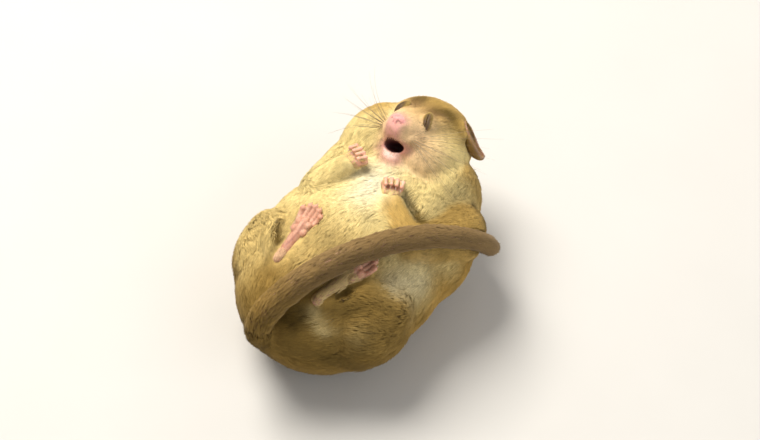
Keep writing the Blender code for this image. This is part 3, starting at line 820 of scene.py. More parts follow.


# the coat's markings, and painted shade and shadows where noted: two ends, size in mm, and how
# much olive and white each adds

coatMarksAndShade = (
    ((15.5, -17.5, 8.5), (16.5, -15.0, 7.0), 4.2, 0.22, 0.0),
    ((6.5, -25.5, 9.2), (5.0, -27.5, 8.0), 2.0, 0.80, 0.0),
    ((3.0, -30.0, 5.0), (9.0, -29.5, 0.0), 4.5, 0.12, 0.0),
    ((13.0, -25.0, 0.5), (16.0, -20.0, -3.0), 5.0, 0.30, 0.0),
    ((2.8, -3.5, 15.0), (3.4, -3.2, 15.0), 1.1, 0.40, 0.0),
    # painted shadow in the gap between the right forearm and the cheek
    ((-9.7, 2.1, 15.4), (-9.0, 1.6, 15.2), 1.0, 0.45, 0.0),
    # painted shadow under the right fist
    ((-8.2, 1.6, 12.6), (-5.0, 4.4, 12.5), 1.1, 0.80, 0.0),
    # these two: painted shade in the gap between the left forearm and the chest
    ((4.6, 5.2, 13.0), (9.8, 4.0, 11.6), 1.3, 0.95, 0.0),
    ((9.8, 4.0, 11.6), (12.5, 2.0, 9.5), 1.2, 0.45, 0.0),
    # these two: painted shadow in the slit between the right foot and its knee
    ((-10.4, -15.0, 12.0), (-8.9, -17.4, 11.4), 1.2, 1.0, 0.0),
    ((-8.9, -17.4, 11.4), (-7.6, -20.2, 12.0), 0.9, 0.80, 0.0),
    # painted shadow in the gap between the left foot and its thigh
    ((9.8, -18.4, 11.4), (8.6, -20.6, 10.8), 1.3, 0.90, 0.0),
    # painted shade on the left shoulder and arm, where less light falls
    ((11.8, 5.2, 10.8), (13.1, 12.8, 8.2), 3.2, 0.48, 0.0),
    # painted shadow of the tail on the belly
    ((-1.5, -12.4, 14.7), (2.0, -11.4, 15.0), 2.8, 0.30, 0.0),
    ((-0.9, 0.5, 14.1), (-1.5, 3.0, 13.5), 4.0, 0.0, 0.85),
    ((-3.0, 8.0, 12.0), (-2.0, 6.0, 12.5), 4.0, 0.0, 0.60),
    ((6.5, -24.6, 9.6), (11.0, -24.9, 6.6), 1.5, 0.0, 0.70),
    ((15.0, -9.5, 9.5), (18.0, -5.0, 7.0), 3.2, 0.0, 0.45),
    ((16.5, -23.0, 5.0), (16.0, -22.0, 6.0), 2.6, 0.0, 0.22),
)
# the same on the head's own axes, on both sides: the dark ring of the eye, painted shade over the
# brow and in a band to the ear, and a painted shadow line where the muzzle meets the cheek
headMarksAndShade = (
    ((7.8, 4.2, 3.2), (8.0, 4.4, 3.2), 1.4, 0.45),
    # these three: painted shade over the brow and in a band to the ear
    ((7.0, 5.7, 1.8), (5.4, 6.0, 3.6), 1.6, 0.75),
    ((5.4, 6.0, 3.6), (2.0, 4.2, 7.4), 1.5, 0.80),
    ((5.4, 6.6, 2.6), (3.4, 6.8, 3.6), 1.6, 0.55),
    # painted shadow line where the muzzle meets the cheek
    ((9.6, 1.0, 2.9), (9.3, -1.8, 3.1), 0.6, 0.28),
)
toneSettings = {
    "belly": 0.42,  # how golden it is there, and so on
    "rear": 0.50,
    "neck": 0.80,
    "crown": 0.80,
    "nape": 0.75,
    "forelegs": {"foreleg_left": 0.85, "foreleg_right": 0.05},
    "cheek": 0.7,  # how much less golden it is there
    "olive": {"crown": 0.20, "back": 0.28, "rear": 0.42, "patches": 0.20},
    "whiteBehind": -12,  # where the white marks get fainter
    "pink": (0.9, 0.40, 0.6, 0.9),  # on bare skin, on the muzzle, less on the crown, at most
}


def coatTone(at, bare, front, onTail):
    # how golden, olive, white and pink each point is
    body, head, isHead = at["body"], at["head"], at["isHead"]
    settings, dusk = toneSettings, toneSettings["olive"]
    high = body[:, 2] + 1.2 * ripple(body, 9.0, 3)
    rear = ease(0.6 * body[:, 0] - body[:, 1] + 1.5 * ripple(body, 8.0, 6), 12.0, 25.0)
    crown = ease(head[:, 1] + 0.25 * ripple(body, 5.0, 4), 1.0, 6.5)
    nape = ease(-head[:, 0], 1.5, 6.0)
    cheek = ease(head[:, 0], -4.0, 1.0) * beyond(head[:, 1], -1.0, 3.5)

    golden = beyond(high, -3.0, 10.5)
    belly = settings["belly"] * ease(-body[:, 1], 4.0, 12.0)
    golden = np.maximum(golden, belly + settings["rear"] * rear)
    golden = np.maximum(golden, settings["neck"] * ease(body[:, 1], 15.0, 21.0))
    top = np.maximum(settings["crown"] * crown + 0.06, settings["nape"] * nape)
    golden = np.where(isHead, top * (1 - settings["cheek"] * cheek), golden)
    for name, share in settings["forelegs"].items():
        mine = at["limbs"][name][0]
        golden[mine] = np.maximum(0.45 * golden[mine], share)

    olive = np.where(isHead, dusk["crown"] * ease(head[:, 1], 4.5, 8.0),
                     dusk["back"] * beyond(high, -14.0, -2.0) + dusk["rear"] * rear)
    olive += dusk["patches"] * ease(ripple(body, 6.0, 5), 0.1, 1.0) * golden
    white = np.zeros(len(body))
    # markings, and the painted shade and shadows listed with them
    for start, end, size, dark, pale in coatMarksAndShade:
        fall = nearMark(body, start, end, size)
        kept = 1 - np.minimum(pale * fall, 1)
        olive = (olive + dark * fall) * kept
        golden = golden * kept
        white += pale * fall * np.where(body[:, 1] > settings["whiteBehind"], 0.90, 0.15)
    # the eye ring, and painted shade on the brow, towards the ear and beside the muzzle
    for side in sides:
        for start, end, size, dark in headMarksAndShade:
            olive += dark * nearMark(head, headSide(start, side), headSide(end, side), size)
    golden = np.maximum(golden, onTail)
    onSkin, onMuzzle, onCrown, most = settings["pink"]
    pink = bare[:, 2] * onSkin + onMuzzle * front * (1 - onCrown * crown)
    return np.clip(rows(golden, olive, white, np.minimum(pink, most)), 0, 1)


def skinFields(skin):
    # lie and depth of the coat, its markings and painted shade, and the bare places
    mesh = skin.data
    points, normals, edges = meshPoints(mesh), meshNormals(mesh), meshEdges(mesh)
    owner = nearestNode(points)
    at = {
        "points": points,
        "body": points / mm - np.array(bodyOrigin),
        "head": inMillimetres(points, headFrame),
        "owner": owner,
        "isHead": np.isin(owner, [partIndex("head"), partIndex("lower_jaw")]),
        "limbs": {},
    }
    for name, joints in limbs.items():
        mine = owner == partIndex(name)
        at["limbs"][name] = (mine, *alongLimb(points[mine], joints))
    front = ease(at["head"][:, 0], 4.0, 10.5) * at["isHead"]
    bare = bareShares(at)
    way, onTail = coatWay(at)
    rounds = laySettings["spreading"]
    depth = spread(rows(coatDepth(at, bare, front)), edges, rounds["depth"])[:, 0]
    tone = spread(coatTone(at, bare, front, onTail), edges, rounds["tone"])
    way = spread(unit(alongSurface(way, normals)), edges, rounds["way"])
    way = unit(alongSurface(way, normals))
    mouth, lid, lip, _ = bare.T
    grows = 1 - np.clip(mouth * 3 + lip * 0.75 + lid * 0.5, 0, 1)
    return {"depth": depth, "tone": tone, "bare": bare, "way": way, "grows": grows}


def sinkSkin(skin, fields):
    # the flesh lies under the solids by the depth of the coat
    mesh = skin.data
    down = skinSettings["close"] + fields["depth"]
    points = meshPoints(mesh) - meshNormals(mesh) * down[:, None] * mm
    points[:, 2] = np.maximum(points[:, 2], skinSettings["lowest"] * mm)
    movePoints(mesh, points)
    withModifier(skin, "SMOOTH", factor=0.5, iterations=2)
    setTone(skin.data, "coatTone", fields["tone"])
    setTone(skin.data, "skinTone", fields["bare"])
    skin.data.shade_smooth()


# the coat: one tuft modelled once, then set by the thousand along its lie

tuftShape = {
    "middle": 0.36,  # where it is widest, from its foot at 0 to its tip at 1
    "thickness": 0.40,
    "length": (0.45, 2.9),  # in mm, and how it grows with the depth of the coat
    "width": (0.085, 0.085),
    "lengthVaries": 0.20,
    "widthVaries": (0.75, 1.3),
    "turn": (0.12, 0.16, 0.07),  # radians, tuft by tuft and in waves of 5 mm and 1.8 mm
    "lift": (0.13, 0.10),  # the same for how high it stands, in waves of 2.6 mm
    "reaches": {"middle": (0.48, 0.62), "tip": (1.0, 1.0)},  # along the surface, over it
    "rooted": 0.12,  # mm into the skin
    "lean": 0.32,  # how far the normals turn to its sides
    "lowest": 0.03,
    "patch": 0.003,
}


def makeTuft():
    # a thin three-sided lock, pointed at both ends
    middle = tuftShape["middle"]
    halves = []
    for end, turned in ((1.0, 0.0), (0.0, math.pi)):
        deselect()
        bpy.ops.mesh.primitive_cone_add(
            vertices=3, radius1=0.5, radius2=0.0, depth=abs(end - middle),
            end_fill_type="NOTHING", location=(0, 0, (end + middle) / 2), rotation=(0, turned, 0))
        half = bpy.context.object
        half.data.transform(half.matrix_world)
        half.matrix_world = Matrix.Identity(4)
        halves.append(half)
    tuft = joined("tuft", halves)
    edited(tuft, lambda: bpy.ops.mesh.remove_doubles(threshold=0.001), pointInwardsOut)
    points = meshPoints(tuft.data)
    corners, _ = meshTriangles(tuft.data)
    bpy.data.objects.remove(tuft)
    print("tuft of", len(points), "points and", len(corners), "triangles")
    return points, corners


tuftPoints, tuftCorners = makeTuft()


def growTufts(surface, fields, cover, seed, most):
    # picks the roots over the surface and works out how each tuft lies
    mesh = surface.data
    points, normals = meshPoints(mesh), meshNormals(mesh)
    corners, loops = meshTriangles(mesh)
    uv = pulled(mesh.uv_layers["OFBake"].data, "uv", 2)
    rng = np.random.default_rng(seed)
    length, width = (least + more * fields["depth"]
                     for least, more in (tuftShape["length"], tuftShape["width"]))
    density = cover / (0.5 * length * width) * fields["grows"]
    a, b, c = (points[corners[:, k]] / mm for k in range(3))
    area = 0.5 * np.linalg.norm(np.cross(b - a, c - a), axis=1)
    weight = area * density[corners].mean(axis=1)
    wanted = weight.sum()
    count = int(min(wanted, most))
    print(surface.name, "area", round(area.sum()), "tufts wanted", int(wanted), "made", count)
    face = rng.choice(len(corners), size=count, p=weight / wanted)
    u, v = rng.random(count), rng.random(count)
    over = u + v > 1
    u[over], v[over] = 1 - u[over], 1 - v[over]
    share = rows(1 - u - v, u, v)

    def at(values):
        return np.einsum("ij,ijk->ik", share, values[corners[face]])

    root, up, way = at(points), unit(at(normals)), at(fields["way"])
    tone = at(fields["tone"])
    depth, length, width = at(rows(fields["depth"], length, width)).T
    place = root / mm
    single, broad, narrow = tuftShape["turn"]
    turn = single * rng.normal(size=count) + broad * ripple(place, 5.0, seed + 1)
    turn = turn + narrow * ripple(place, 1.8, seed + 2)
    way = unit(alongSurface(way, up))
    way = way * np.cos(turn)[:, None] + np.cross(way, up) * np.sin(turn)[:, None]
    varied = 1 + tuftShape["lengthVaries"] * rng.normal(size=count)
    length = length * np.clip(varied, 0.5, 1.5)
    single, broad = tuftShape["lift"]
    lift = 1.0 + single * rng.normal(size=count) + broad * ripple(place, 2.6, seed + 3)
    lift = depth * np.clip(lift, 0.45, 1.55)
    clump = 0.5 + 0.5 * ripple(place, 1.6, seed + 4)
    tree = BVHTree.FromPolygons(points.tolist(), corners.tolist())
    tufts = {"root": root - up * (tuftShape["rooted"] * mm), "rootUp": up}
    for name, (reach, rise) in tuftShape["reaches"].items():
        target = root + way * (length * reach * mm)[:, None]
        found = [tree.find_nearest(p) for p in target.tolist()]
        nearest = np.array([f[0] for f in found])
        out = unit(normals[corners[[f[2] for f in found]]].mean(axis=1))
        tufts[name] = nearest + out * (lift * rise * mm)[:, None]
        tufts[name + "Up"] = out
    return {
        **tufts, "width": width * rng.uniform(*tuftShape["widthVaries"], count), "tone": tone,
        "uv": np.einsum("ij,ijk->ik", share, uv[loops[face]]), "chance": rng.random(count),
        "clump": clump, "spin": rng.uniform(-0.5, 0.5, count),
    }


def tuftMesh(name, t, chosen):
    # all the chosen tufts as one mesh of small closed locks
    root, middle, tip, *ups = (t[key][chosen][:, None] for key in (
        "root", "middle", "tip", "rootUp", "middleUp", "tipUp"))
    x, y, z = (tuftPoints[:, k][None, :, None] for k in range(3))
    half = tuftShape["middle"]
    first = np.clip(z / half, 0, 1)
    second = np.clip((z - half) / (1 - half), 0, 1)
    centre = root + (middle - root) * first + (tip - middle) * second
    up = unit(ups[0] + (ups[1] - ups[0]) * first + (ups[2] - ups[1]) * second)
    side = unit(np.cross(up, unit(tip - root)))
    spin = t["spin"][chosen][:, None, None]
    across = side * np.cos(spin) + up * np.sin(spin)
    over = up * np.cos(spin) - side * np.sin(spin)
    wide = t["width"][chosen][:, None, None] * mm
    points = centre + across * x * wide + over * y * wide * tuftShape["thickness"] * 2
    points[:, :, 2] = np.maximum(points[:, :, 2], tuftShape["lowest"] * mm)
    sideways = (across * x + over * y) / np.maximum(np.hypot(x, y), 0.05)
    normal = unit(up + tuftShape["lean"] * sideways)
    count = len(points)
    size = len(tuftPoints)
    corners = (tuftCorners[None] + size * np.arange(count)[:, None, None]).reshape(-1)
    mesh = bpy.data.meshes.new(name)
    mesh.vertices.add(count * size)
    mesh.vertices.foreach_set("co", points.astype(np.float32).ravel())
    mesh.loops.add(len(corners))
    mesh.loops.foreach_set("vertex_index", corners.astype(np.int32))
    mesh.polygons.add(len(corners) // 3)
    mesh.polygons.foreach_set("loop_start", np.arange(0, len(corners), 3, dtype=np.int32))
    mesh.update(calc_edges=True)
    patch = tuftShape["patch"]
    flat = np.concatenate([x[..., 0:1] * patch, (z - 0.5) * patch], 2)
    uv = (t["uv"][chosen][:, None] + flat).reshape(-1, 2)[corners]
    layer = mesh.uv_layers.new(name="OFBake")
    layer.data.foreach_set("uv", uv.astype(np.float32).ravel())
    chance, clump = (np.repeat(t[key][chosen], size) for key in ("chance", "clump"))
    setTone(mesh, "coatTone", np.repeat(t["tone"][chosen], size, axis=0))
    setTone(mesh, "tuftTone", rows(np.tile(tuftPoints[:, 2], count), chance, clump))
    mesh.shade_smooth()
    mesh.normals_split_custom_set_from_vertices(normal.reshape(-1, 3))
    return linked(name, mesh)


def splitByPlace(places, most=32000):
    # halves the largest group across its longest side until none is too large
    groups = [np.arange(len(places))]
    while max(len(g) for g in groups) > most:
        groups.sort(key=len)
        group = groups.pop()
        longest = np.argmax(np.ptp(places[group], axis=0))
        order = group[np.argsort(places[group, longest], kind="stable")]
        groups += [order[: len(order) // 2], order[len(order) // 2:]]
    return sorted(groups, key=lambda g: tuple(places[g].mean(axis=0)))


def growHair(name, surface, fields, cover, seed, most, slot, last="pink"):
    # a coat in one piece
    tufts = growTufts(surface, fields, cover, seed, most)
    hair = tuftMesh(name, tufts, np.arange(len(tufts["root"])))
    settle(hair, tailFinish if last == "tail" else coatFinish, slot)


skinFinish = makeSkinFinish()
coatFinish = makeCoatFinish("coatFinish")
tailFinish = makeCoatFinish("tailFinish", "tail")
skin = makeSkin()
print("skin remeshed")
skinField = skinFields(skin)
sinkSkin(skin, skinField)
unwrap(skin)
settle(skin, skinFinish, "coat_flank", *skinSettings["parts"])
tufts = growTufts(skin, skinField, cover=3.75, seed=11, most=196000)
for number, group in enumerate(splitByPlace(tufts["root"])):
    settle(tuftMesh("coat" + str(number + 1), tufts, group), coatFinish, "coat_flank")


# the tail

def makeTail():
    deselect()
    bpy.ops.curve.primitive_nurbs_path_add()
    curve = bpy.context.object.data
    curve.splines.clear()
    curve.dimensions = "3D"
    curve.bevel_depth = mm
    curve.bevel_resolution = 8
    curve.use_fill_caps = True
    spline = curve.splines.new("POLY")
    steps, rounded = tailSettings["steps"], tailSettings["rounded"]
    spline.points.add(steps - 1)
    for k in range(steps):
        t = k / (steps - 1)
        spline.points[k].co = (*bodyPoint(tailPoint(t)), 1.0)
        thin = 1 - 0.75 * max(0.0, (t - rounded) / 0.03) ** 2
        spline.points[k].radius = (tailRadius(t) - tailSettings["depth"]) * thin
    pickOnly(bpy.context.object)
    bpy.ops.object.convert(target="MESH")
    tail = named(bpy.context.object, "tailSkin")
    edited(tail, lambda: bpy.ops.mesh.remove_doubles(threshold=0.00001), pointInwardsOut)
    return tail


def tailFields(tail):
    points, normals = meshPoints(tail.data), meshNormals(tail.data)
    way, share, _ = alongTail(points)
    body = points / mm - np.array(bodyOrigin)
    depth = np.full(len(points), tailSettings["depth"]) * (1 + 0.1 * ripple(body, 4.0, 8))
    olive = 0.50 + 0.20 * ripple(body, 3.0, 9) + 0.16 * beyond(share, 0.15, 0.40)
    grey = 0.94 * ease(share + 0.02 * ripple(body, 4.0, 10), 0.10, 0.36)
    way = lying(way, normals)
    tone = np.clip(rows(1.0, olive, 0, grey), 0, 1)
    return {"depth": depth, "tone": tone, "way": way, "grows": np.ones(len(points))}


tail = makeTail()
tailField = tailFields(tail)
setTone(tail.data, "coatTone", tailField["tone"])
setTone(tail.data, "skinTone", np.zeros((len(tail.data.vertices), 3)))
tail.data.shade_smooth()
unwrap(tail)
settle(tail, skinFinish, "tail_coat", "tail_root", "tail_front", "tail_rear", "tail_tip")
growHair("tailCoat", tail, tailField, 4.0, 31, 29000, "tail_coat", "tail")


# bare skin: paws and feet, and the finish of the nose

def creaseShadeMask(mesh, rounds=12, gain=9.0):
    # 1 in the creases of a form, 0 on its open faces: a mask for painted shade in the creases
    points, normals = meshPoints(mesh), meshNormals(mesh)
    even = spread(points / mm, meshEdges(mesh), rounds)
    return np.clip(np.sum((even - points / mm) * normals, axis=1) * gain, 0, 1)


def makeBareFinish(name, colour, deep, creviceShade, roughness):
    finish = Finish(name + "Finish", Subsurface_Weight=0.25, Subsurface_Scale=0.6 * mm,
                    Subsurface_Radius=(1.0, 0.35, 0.25))
    hollowShade, _, _, _ = finish.tone("skinTone")
    blotch = finish.grain(1.6)
    fine = finish.grain(0.16)
    crease = finish.cells(0.42)
    mixed = finish.blend(finish.within(blotch, 0.35, 0.7), colour, deep)
    # painted shade: the creases of the paws and feet, and the nostrils, darkened
    mixed = finish.blend(hollowShade, mixed, creviceShade)
    mixed = finish.shade(mixed, finish.within(crease, 0.0, 0.5, 0.82, 1.06))
    return finish.feed(
        Base_Color=mixed,
        Roughness=finish.within(fine, 0.3, 0.7, roughness, roughness + 0.15),
        Normal=finish.bump(crease * 0.7 + fine * 0.5, 0.05, 0.7))


bareColours = {  # open skin, blotches, painted shade in the creases and nostrils, and how rough it is
    "paw": ((0.78, 0.46, 0.33), (0.66, 0.32, 0.22), (0.36, 0.13, 0.08), 0.50),
    "foot": ((0.66, 0.37, 0.25), (0.52, 0.24, 0.15), (0.28, 0.09, 0.06), 0.50),
    "nose": ((0.78, 0.38, 0.35), (0.68, 0.28, 0.26), (0.10, 0.02, 0.02), 0.34),
}
pawFinish, footFinish, noseFinish = (makeBareFinish(name, *look)
                                     for name, look in bareColours.items())


def clawBalls(start, end, radius):
    # a short hooked claw, as balls that shrink to its point
    start, end = Vector(start), Vector(end)
    balls = []
    for k in range(9):
        t = k / 8
        place = start.lerp(end, t) + Vector((0, 0, -0.22)) * math.sin(t * math.pi)
        balls.append((place, (radius * (1 - 0.86 * t),) * 3))
    return balls


def makeFist(side):
    matrix = fistFrame(side)
    balls = strung([((0, -1.2, -0.3), 1.5), ((0, 0.8, 0.0), 1.4)])
    balls.append(((0, 1.6, 0.0), (1.95, 1.9, 1.3)))
    balls += [((x, 1.3, 0.75), (0.62, 0.7, 0.62)) for x in (-0.95, 0.0, 0.95)]
    claws = []
    finger = fistSettings["finger"]
    for across in fistSettings["spread"]:
        reach = 3.5 - 0.22 * abs(across)
        root = (across * 0.8, 2.0, -0.2)
        knuckle = (across * 1.08, reach, 0.1)
        bend = (across * 1.04, reach + 0.35, 1.3)
        tip = (across * 0.95, reach - 0.95, 2.05)
        balls += strung([(root, finger + 0.06), (knuckle, finger + 0.04)])
        balls += strung([(knuckle, finger + 0.04), (bend, finger - 0.05), (tip, finger - 0.16)])
        for place, more in ((knuckle, 0.1), (bend, 0.03), (tip, -0.06)):
            balls.append((place, (finger + more,) * 3))
        claws += clawBalls((across * 0.94, reach - 1.1, 1.85), (across * 0.90, reach - 1.9, 1.75),
                           0.17)
    return fusedBalls("fist_" + side, balls, matrix, 0.13, 2), claws, matrix


def makeFoot(side):
    matrix, ball = footFrame(side)
    half = footSettings["width"] / 2
    toe = footSettings["toe"]
    heel, arch, front = (0, 0.3, -0.1), (0, ball * 0.5, 0.0), (0, ball - 0.6, 0.0)
    balls = strung([(heel, 1.3), (arch, 1.22), (front, 1.35)])
    balls.append(((0, 0.5, 0.35), (1.05, 1.3, 1.0)))
    balls.append(((0, ball - 0.8, 0.0), (half + 0.3, 2.0, 1.05)))
    for x, y, size in footSettings["pads"]:
        balls.append(((x, ball + y, 0.78), (size, size * 1.15, size * 0.8)))
    claws = []
    for across, reach in zip(footSettings["spread"], footSettings["length"]):
        root = (across * 0.85, ball - 0.2, 0.0)
        x, y, z = middle = (across * 1.12, ball + reach * 0.55, 0.1)
        knuckle = ((x, y, z + 0.1), (toe * 0.88, toe * 0.8, toe * 0.8))
        x, y, z = tip = (across * 1.22, ball + reach, 0.5)
        pad = ((x, y + 0.05, z + 0.12), (toe * 0.92, toe * 1.05, toe * 0.8))
        balls += strung([(root, toe + 0.02), (middle, toe - 0.1), (tip, toe - 0.1)])
        balls += [pad, knuckle]
        end = (across * 1.24, ball + reach + footSettings["claw"], 1.05)
        claws += clawBalls((x, y + 0.35, z - 0.05), end, 0.2)
    return fusedBalls("foot_" + side, balls, matrix, 0.14, 2), claws, matrix


clawFinish = plainFinish("clawFinish", 0.3, ((0.80, 0.62, 0.50), (0.62, 0.42, 0.33)), 2.0,
                         Roughness=0.3, Subsurface_Weight=0.3, Subsurface_Scale=0.3 * mm)


def soleShadeAndHeel(paw, matrix):
    # painted shade along the fold in the middle of the sole, and the heel made darker
    x, y, z = inMillimetres(meshPoints(paw.data), matrix).T
    bend = x + 0.25 * np.sin(y * 0.7)
    fold = 0.6 * np.exp(-((bend / 0.28) ** 2)) * ease(y, 2.0, 4.0) * beyond(y, 8.0, 9.5) * (z > 0)
    return fold + 0.26 * beyond(y, 3.0, 6.5)


def pawFields(paw, matrix, settings, side):
    # short hair on the wrist or heel and round the edge of the paw, its palm or sole left bare
    points, normals = meshPoints(paw.data), meshNormals(paw.data)
    along = inMillimetres(points, matrix)[:, 1]
    axes = np.array(matrix)[:3, :3]
    way = lying(unit(axes[:, 1]), normals)
    facing, end = settings["edge"]
    edge = beyond(unit(normals @ axes)[:, 2], *facing) * beyond(along, *end)
    grows = np.maximum(beyond(along, *settings[side]["furry"]), edge)
    tone = np.tile(settings[side]["hair"], (len(points), 1))
    return {"depth": 0.08 + 0.14 * grows, "tone": tone, "way": way, "grows": grows}


for side in sides:
    for kind, maker, node, settings, finish in (
            ("Fist", makeFist, "forepaw_", fistSettings, pawFinish),
            ("Foot", makeFoot, "hindfoot_", footSettings, footFinish)):
        paw, claws, matrix = maker(side)
        # painted shade in the creases of the paw, and on the feet along the fold of the sole
        crease = creaseShadeMask(paw.data)
        if kind == "Foot":
            crease = np.clip(crease + soleShadeAndHeel(paw, matrix), 0, 1)
        pawField = pawFields(paw, matrix, settings, side)
        setTone(paw.data, "skinTone", rows(crease, crease))
        setTone(paw.data, "coatTone", pawField["tone"])
        unwrap(paw)
        settle(paw, finish, "bare_skin", node + side)
        growHair("hair" + kind + "_" + side, paw, pawField, 2.2, 74 + sides[side], 3400,
                 "bare_skin")
        claw = fusedBalls("claws" + kind + "_" + side, claws, matrix, 0.07, 1)
        settle(claw, clawFinish, "bare_skin")


# the face: nose, lids, ears and whiskers

noseSettings = {
    "nostrils": (((13.35, 0.75, 0.85), 0.42, 0.55), ((13.0, 0.45, 1.25), 0.34, 0.38)),
    "groove": (0.17, 0.22),  # half width and depth
    "wings": (1.15, 0.5, 0.12),  # how far out, half width, height
}


def makeNose():
    nose = uvBall("nosePad", 56, 36)
    centre, halves = (np.array(v) for v in nosePlace)
    ball = meshPoints(nose.data)
    points = ball * halves + centre
    hollowShade = np.zeros(len(points))
    inwards = -unit(ball / halves)
    for side in sides:
        for place, size, dent in noseSettings["nostrils"]:
            gap = distance(points, headSide(place, side)) / size
            fall = np.exp(-gap * gap)
            points = points + inwards * (dent * fall)[:, None]
            hollowShade = np.maximum(hollowShade, fall)
    half, sunk = noseSettings["groove"]
    groove = np.exp(-(points[:, 2] / half) ** 2) * beyond(points[:, 1], 0.6, 1.6)
    points = points + inwards * (sunk * groove * (points[:, 0] > 12))[:, None]
    out, half, high = noseSettings["wings"]
    wings = np.exp(-((np.abs(points[:, 2]) - out) / half) ** 2) * (points[:, 1] < 0.8)
    points = points - inwards * (high * wings)[:, None]
    movePoints(nose.data, points)
    # painted shade: the nostrils darkened
    setTone(nose.data, "skinTone", rows(np.clip(hollowShade * 1.3 - 0.2, 0, 1)))
    nose.data.transform(headFrame)
    edited(nose, pointInwardsOut)
    nose.data.shade_smooth()
    return nose


settle(makeNose(), noseFinish, "bare_skin", "nose")


lidSettings = {
    "half": (2.25, 1.0, 0.70),
    "rise": 1.68,
    "slit": (0.085, 0.18),  # half width and depth
    "puff": (0.30, 0.20, 0.07),  # the lids' edges: how far from the slit, half width, height
    "ends": (0.74, 0.94),
    "arch": (-0.16, -0.10),
    "rim": (0.55, 0.95),  # where the hair of the face begins
}
lidColours = {
    "dark": (0.125, 0.070, 0.036),
    "darkest": (0.075, 0.040, 0.022),
    "rim": (0.40, 0.26, 0.09),
    "slit": (0.018, 0.010, 0.008),
}


def makeLids(side):
    # a closed eye: a narrow lens of dark skin, with the bent line where the lids meet
    lids = uvBall("lids_" + side, 72, 48)
    a, b, c = meshPoints(lids.data).T
    bent = b - 0.16 * (1 - a * a) + 0.10
    front = beyond(np.abs(a), *lidSettings["ends"]) * (c > 0)
    half, sunk = lidSettings["slit"]
    line = np.exp(-((bent / half) ** 2)) * front
    out, half, puffed = lidSettings["puff"]
    puff = np.exp(-(((np.abs(bent) - out) / half) ** 2)) * front
    long, wide, high = lidSettings["half"]
    across, down = lidSettings["arch"]
    height = c * high - sunk * line + puffed * puff + across * (a * long) ** 2
    height = height + down * (b * wide) ** 2 + lidSettings["rise"]
    axes = np.array([list(axis) for axis in lidFrame(side)])
    centre = np.array(headSide(eyePlace[0], side))
    movePoints(lids.data, centre + rows(a * long, b * wide, height) @ axes)
    far = ease(np.hypot(a * 0.85, b), *lidSettings["rim"])
    lids.data.transform(headFrame)
    edited(lids, pointInwardsOut)
    unwrap(lids)
    lids.data.shade_smooth()
    axes = np.array(headFrame)[:3, :3] / mm
    way = lying(0.5 * axes[:, 1] - axes[:, 0], meshNormals(lids.data))
    fields = {"depth": 0.05 + 0.07 * far, "tone": rows(0.70, 0.95 - 0.75 * far, 0, 0),
              "way": way, "grows": (0.15 + 0.85 * far) * (1 - line)}
    setTone(lids.data, "skinTone", rows(line, far))
    setTone(lids.data, "coatTone", fields["tone"])
    return lids, fields


def makeLidFinish():
    finish = Finish("lidFinish", Roughness=0.55)
    line, far, _, _ = finish.tone("skinTone")
    grain = finish.grain(0.25, 4.0, 0.6)
    colour = finish.blend(grain, lidColours["dark"], lidColours["darkest"])
    colour = finish.blend(far, colour, lidColours["rim"])
    colour = finish.blend(line, colour, lidColours["slit"])
    return finish.feed(Base_Color=colour, Normal=finish.bump(grain, 0.06, 0.6))


lidFinish = makeLidFinish()
for side in sides:
    lids, lidField = makeLids(side)
    settle(lids, lidFinish, "eyelid", "eye_" + side)
    growHair("lidCoat_" + side, lids, lidField, 5.0, 90 + sides[side], 1800, "eyelid")


def makeEar(side):
    # a cup with a rolled rim, cut from a ball and given a wall
    ear = uvBall("ear_" + side + "Skin", 48, 32)
    cut = (0, 0, earSettings["cut"])
    edited(ear, lambda: bpy.ops.mesh.bisect(plane_co=cut, plane_no=(0, 0, 1), clear_outer=True))
    points = meshPoints(ear.data)
    long = points[:, 1]
    points = points * (np.array(earSettings["half"]) - 0.1)
    points[:, 0] *= 1 - 0.18 * ease(long, 0.2, 1.0)
    points[:, 2] += 0.30 * ease(long, 0.3, 1.0) + 0.35
    points[:, 2] += 0.16 * np.cos(points[:, 0] * 1.6) * (long > -0.4)
    points[:, 1] += earSettings["half"][1] * 0.86
    movePoints(ear.data, points)
    withModifier(ear, "SOLIDIFY", thickness=earSettings["wall"], offset=-1.0)
    withModifier(ear, "SUBSURF", levels=1, render_levels=1)
    depth = -meshPoints(ear.data)[:, 2]
    setTone(ear.data, "skinTone", rows(0.6 * ease(depth, -0.4, 0.9)))
    ear.data.transform(earFrame(side))
    edited(ear, pointInwardsOut)
    ear.data.shade_smooth()
    return ear


earColours = ((0.36, 0.20, 0.13), (0.27, 0.145, 0.09), (0.45, 0.23, 0.17))


def makeEarFinish():
    finish = Finish("earFinish", Roughness=0.55, Subsurface_Weight=0.3,
                    Subsurface_Scale=0.5 * mm, Subsurface_Radius=(1.0, 0.4, 0.3))
    deep, _, _, _ = finish.tone("skinTone")
    blotch = finish.grain(1.2, 4.0)
    fine = finish.grain(0.2)
    skin, dark, inside = earColours
    colour = finish.blend(finish.within(blotch, 0.35, 0.65), skin, dark)
    colour = finish.blend(deep, colour, inside)
    return finish.feed(Base_Color=colour, Normal=finish.bump(fine + blotch, 0.06, 0.6))


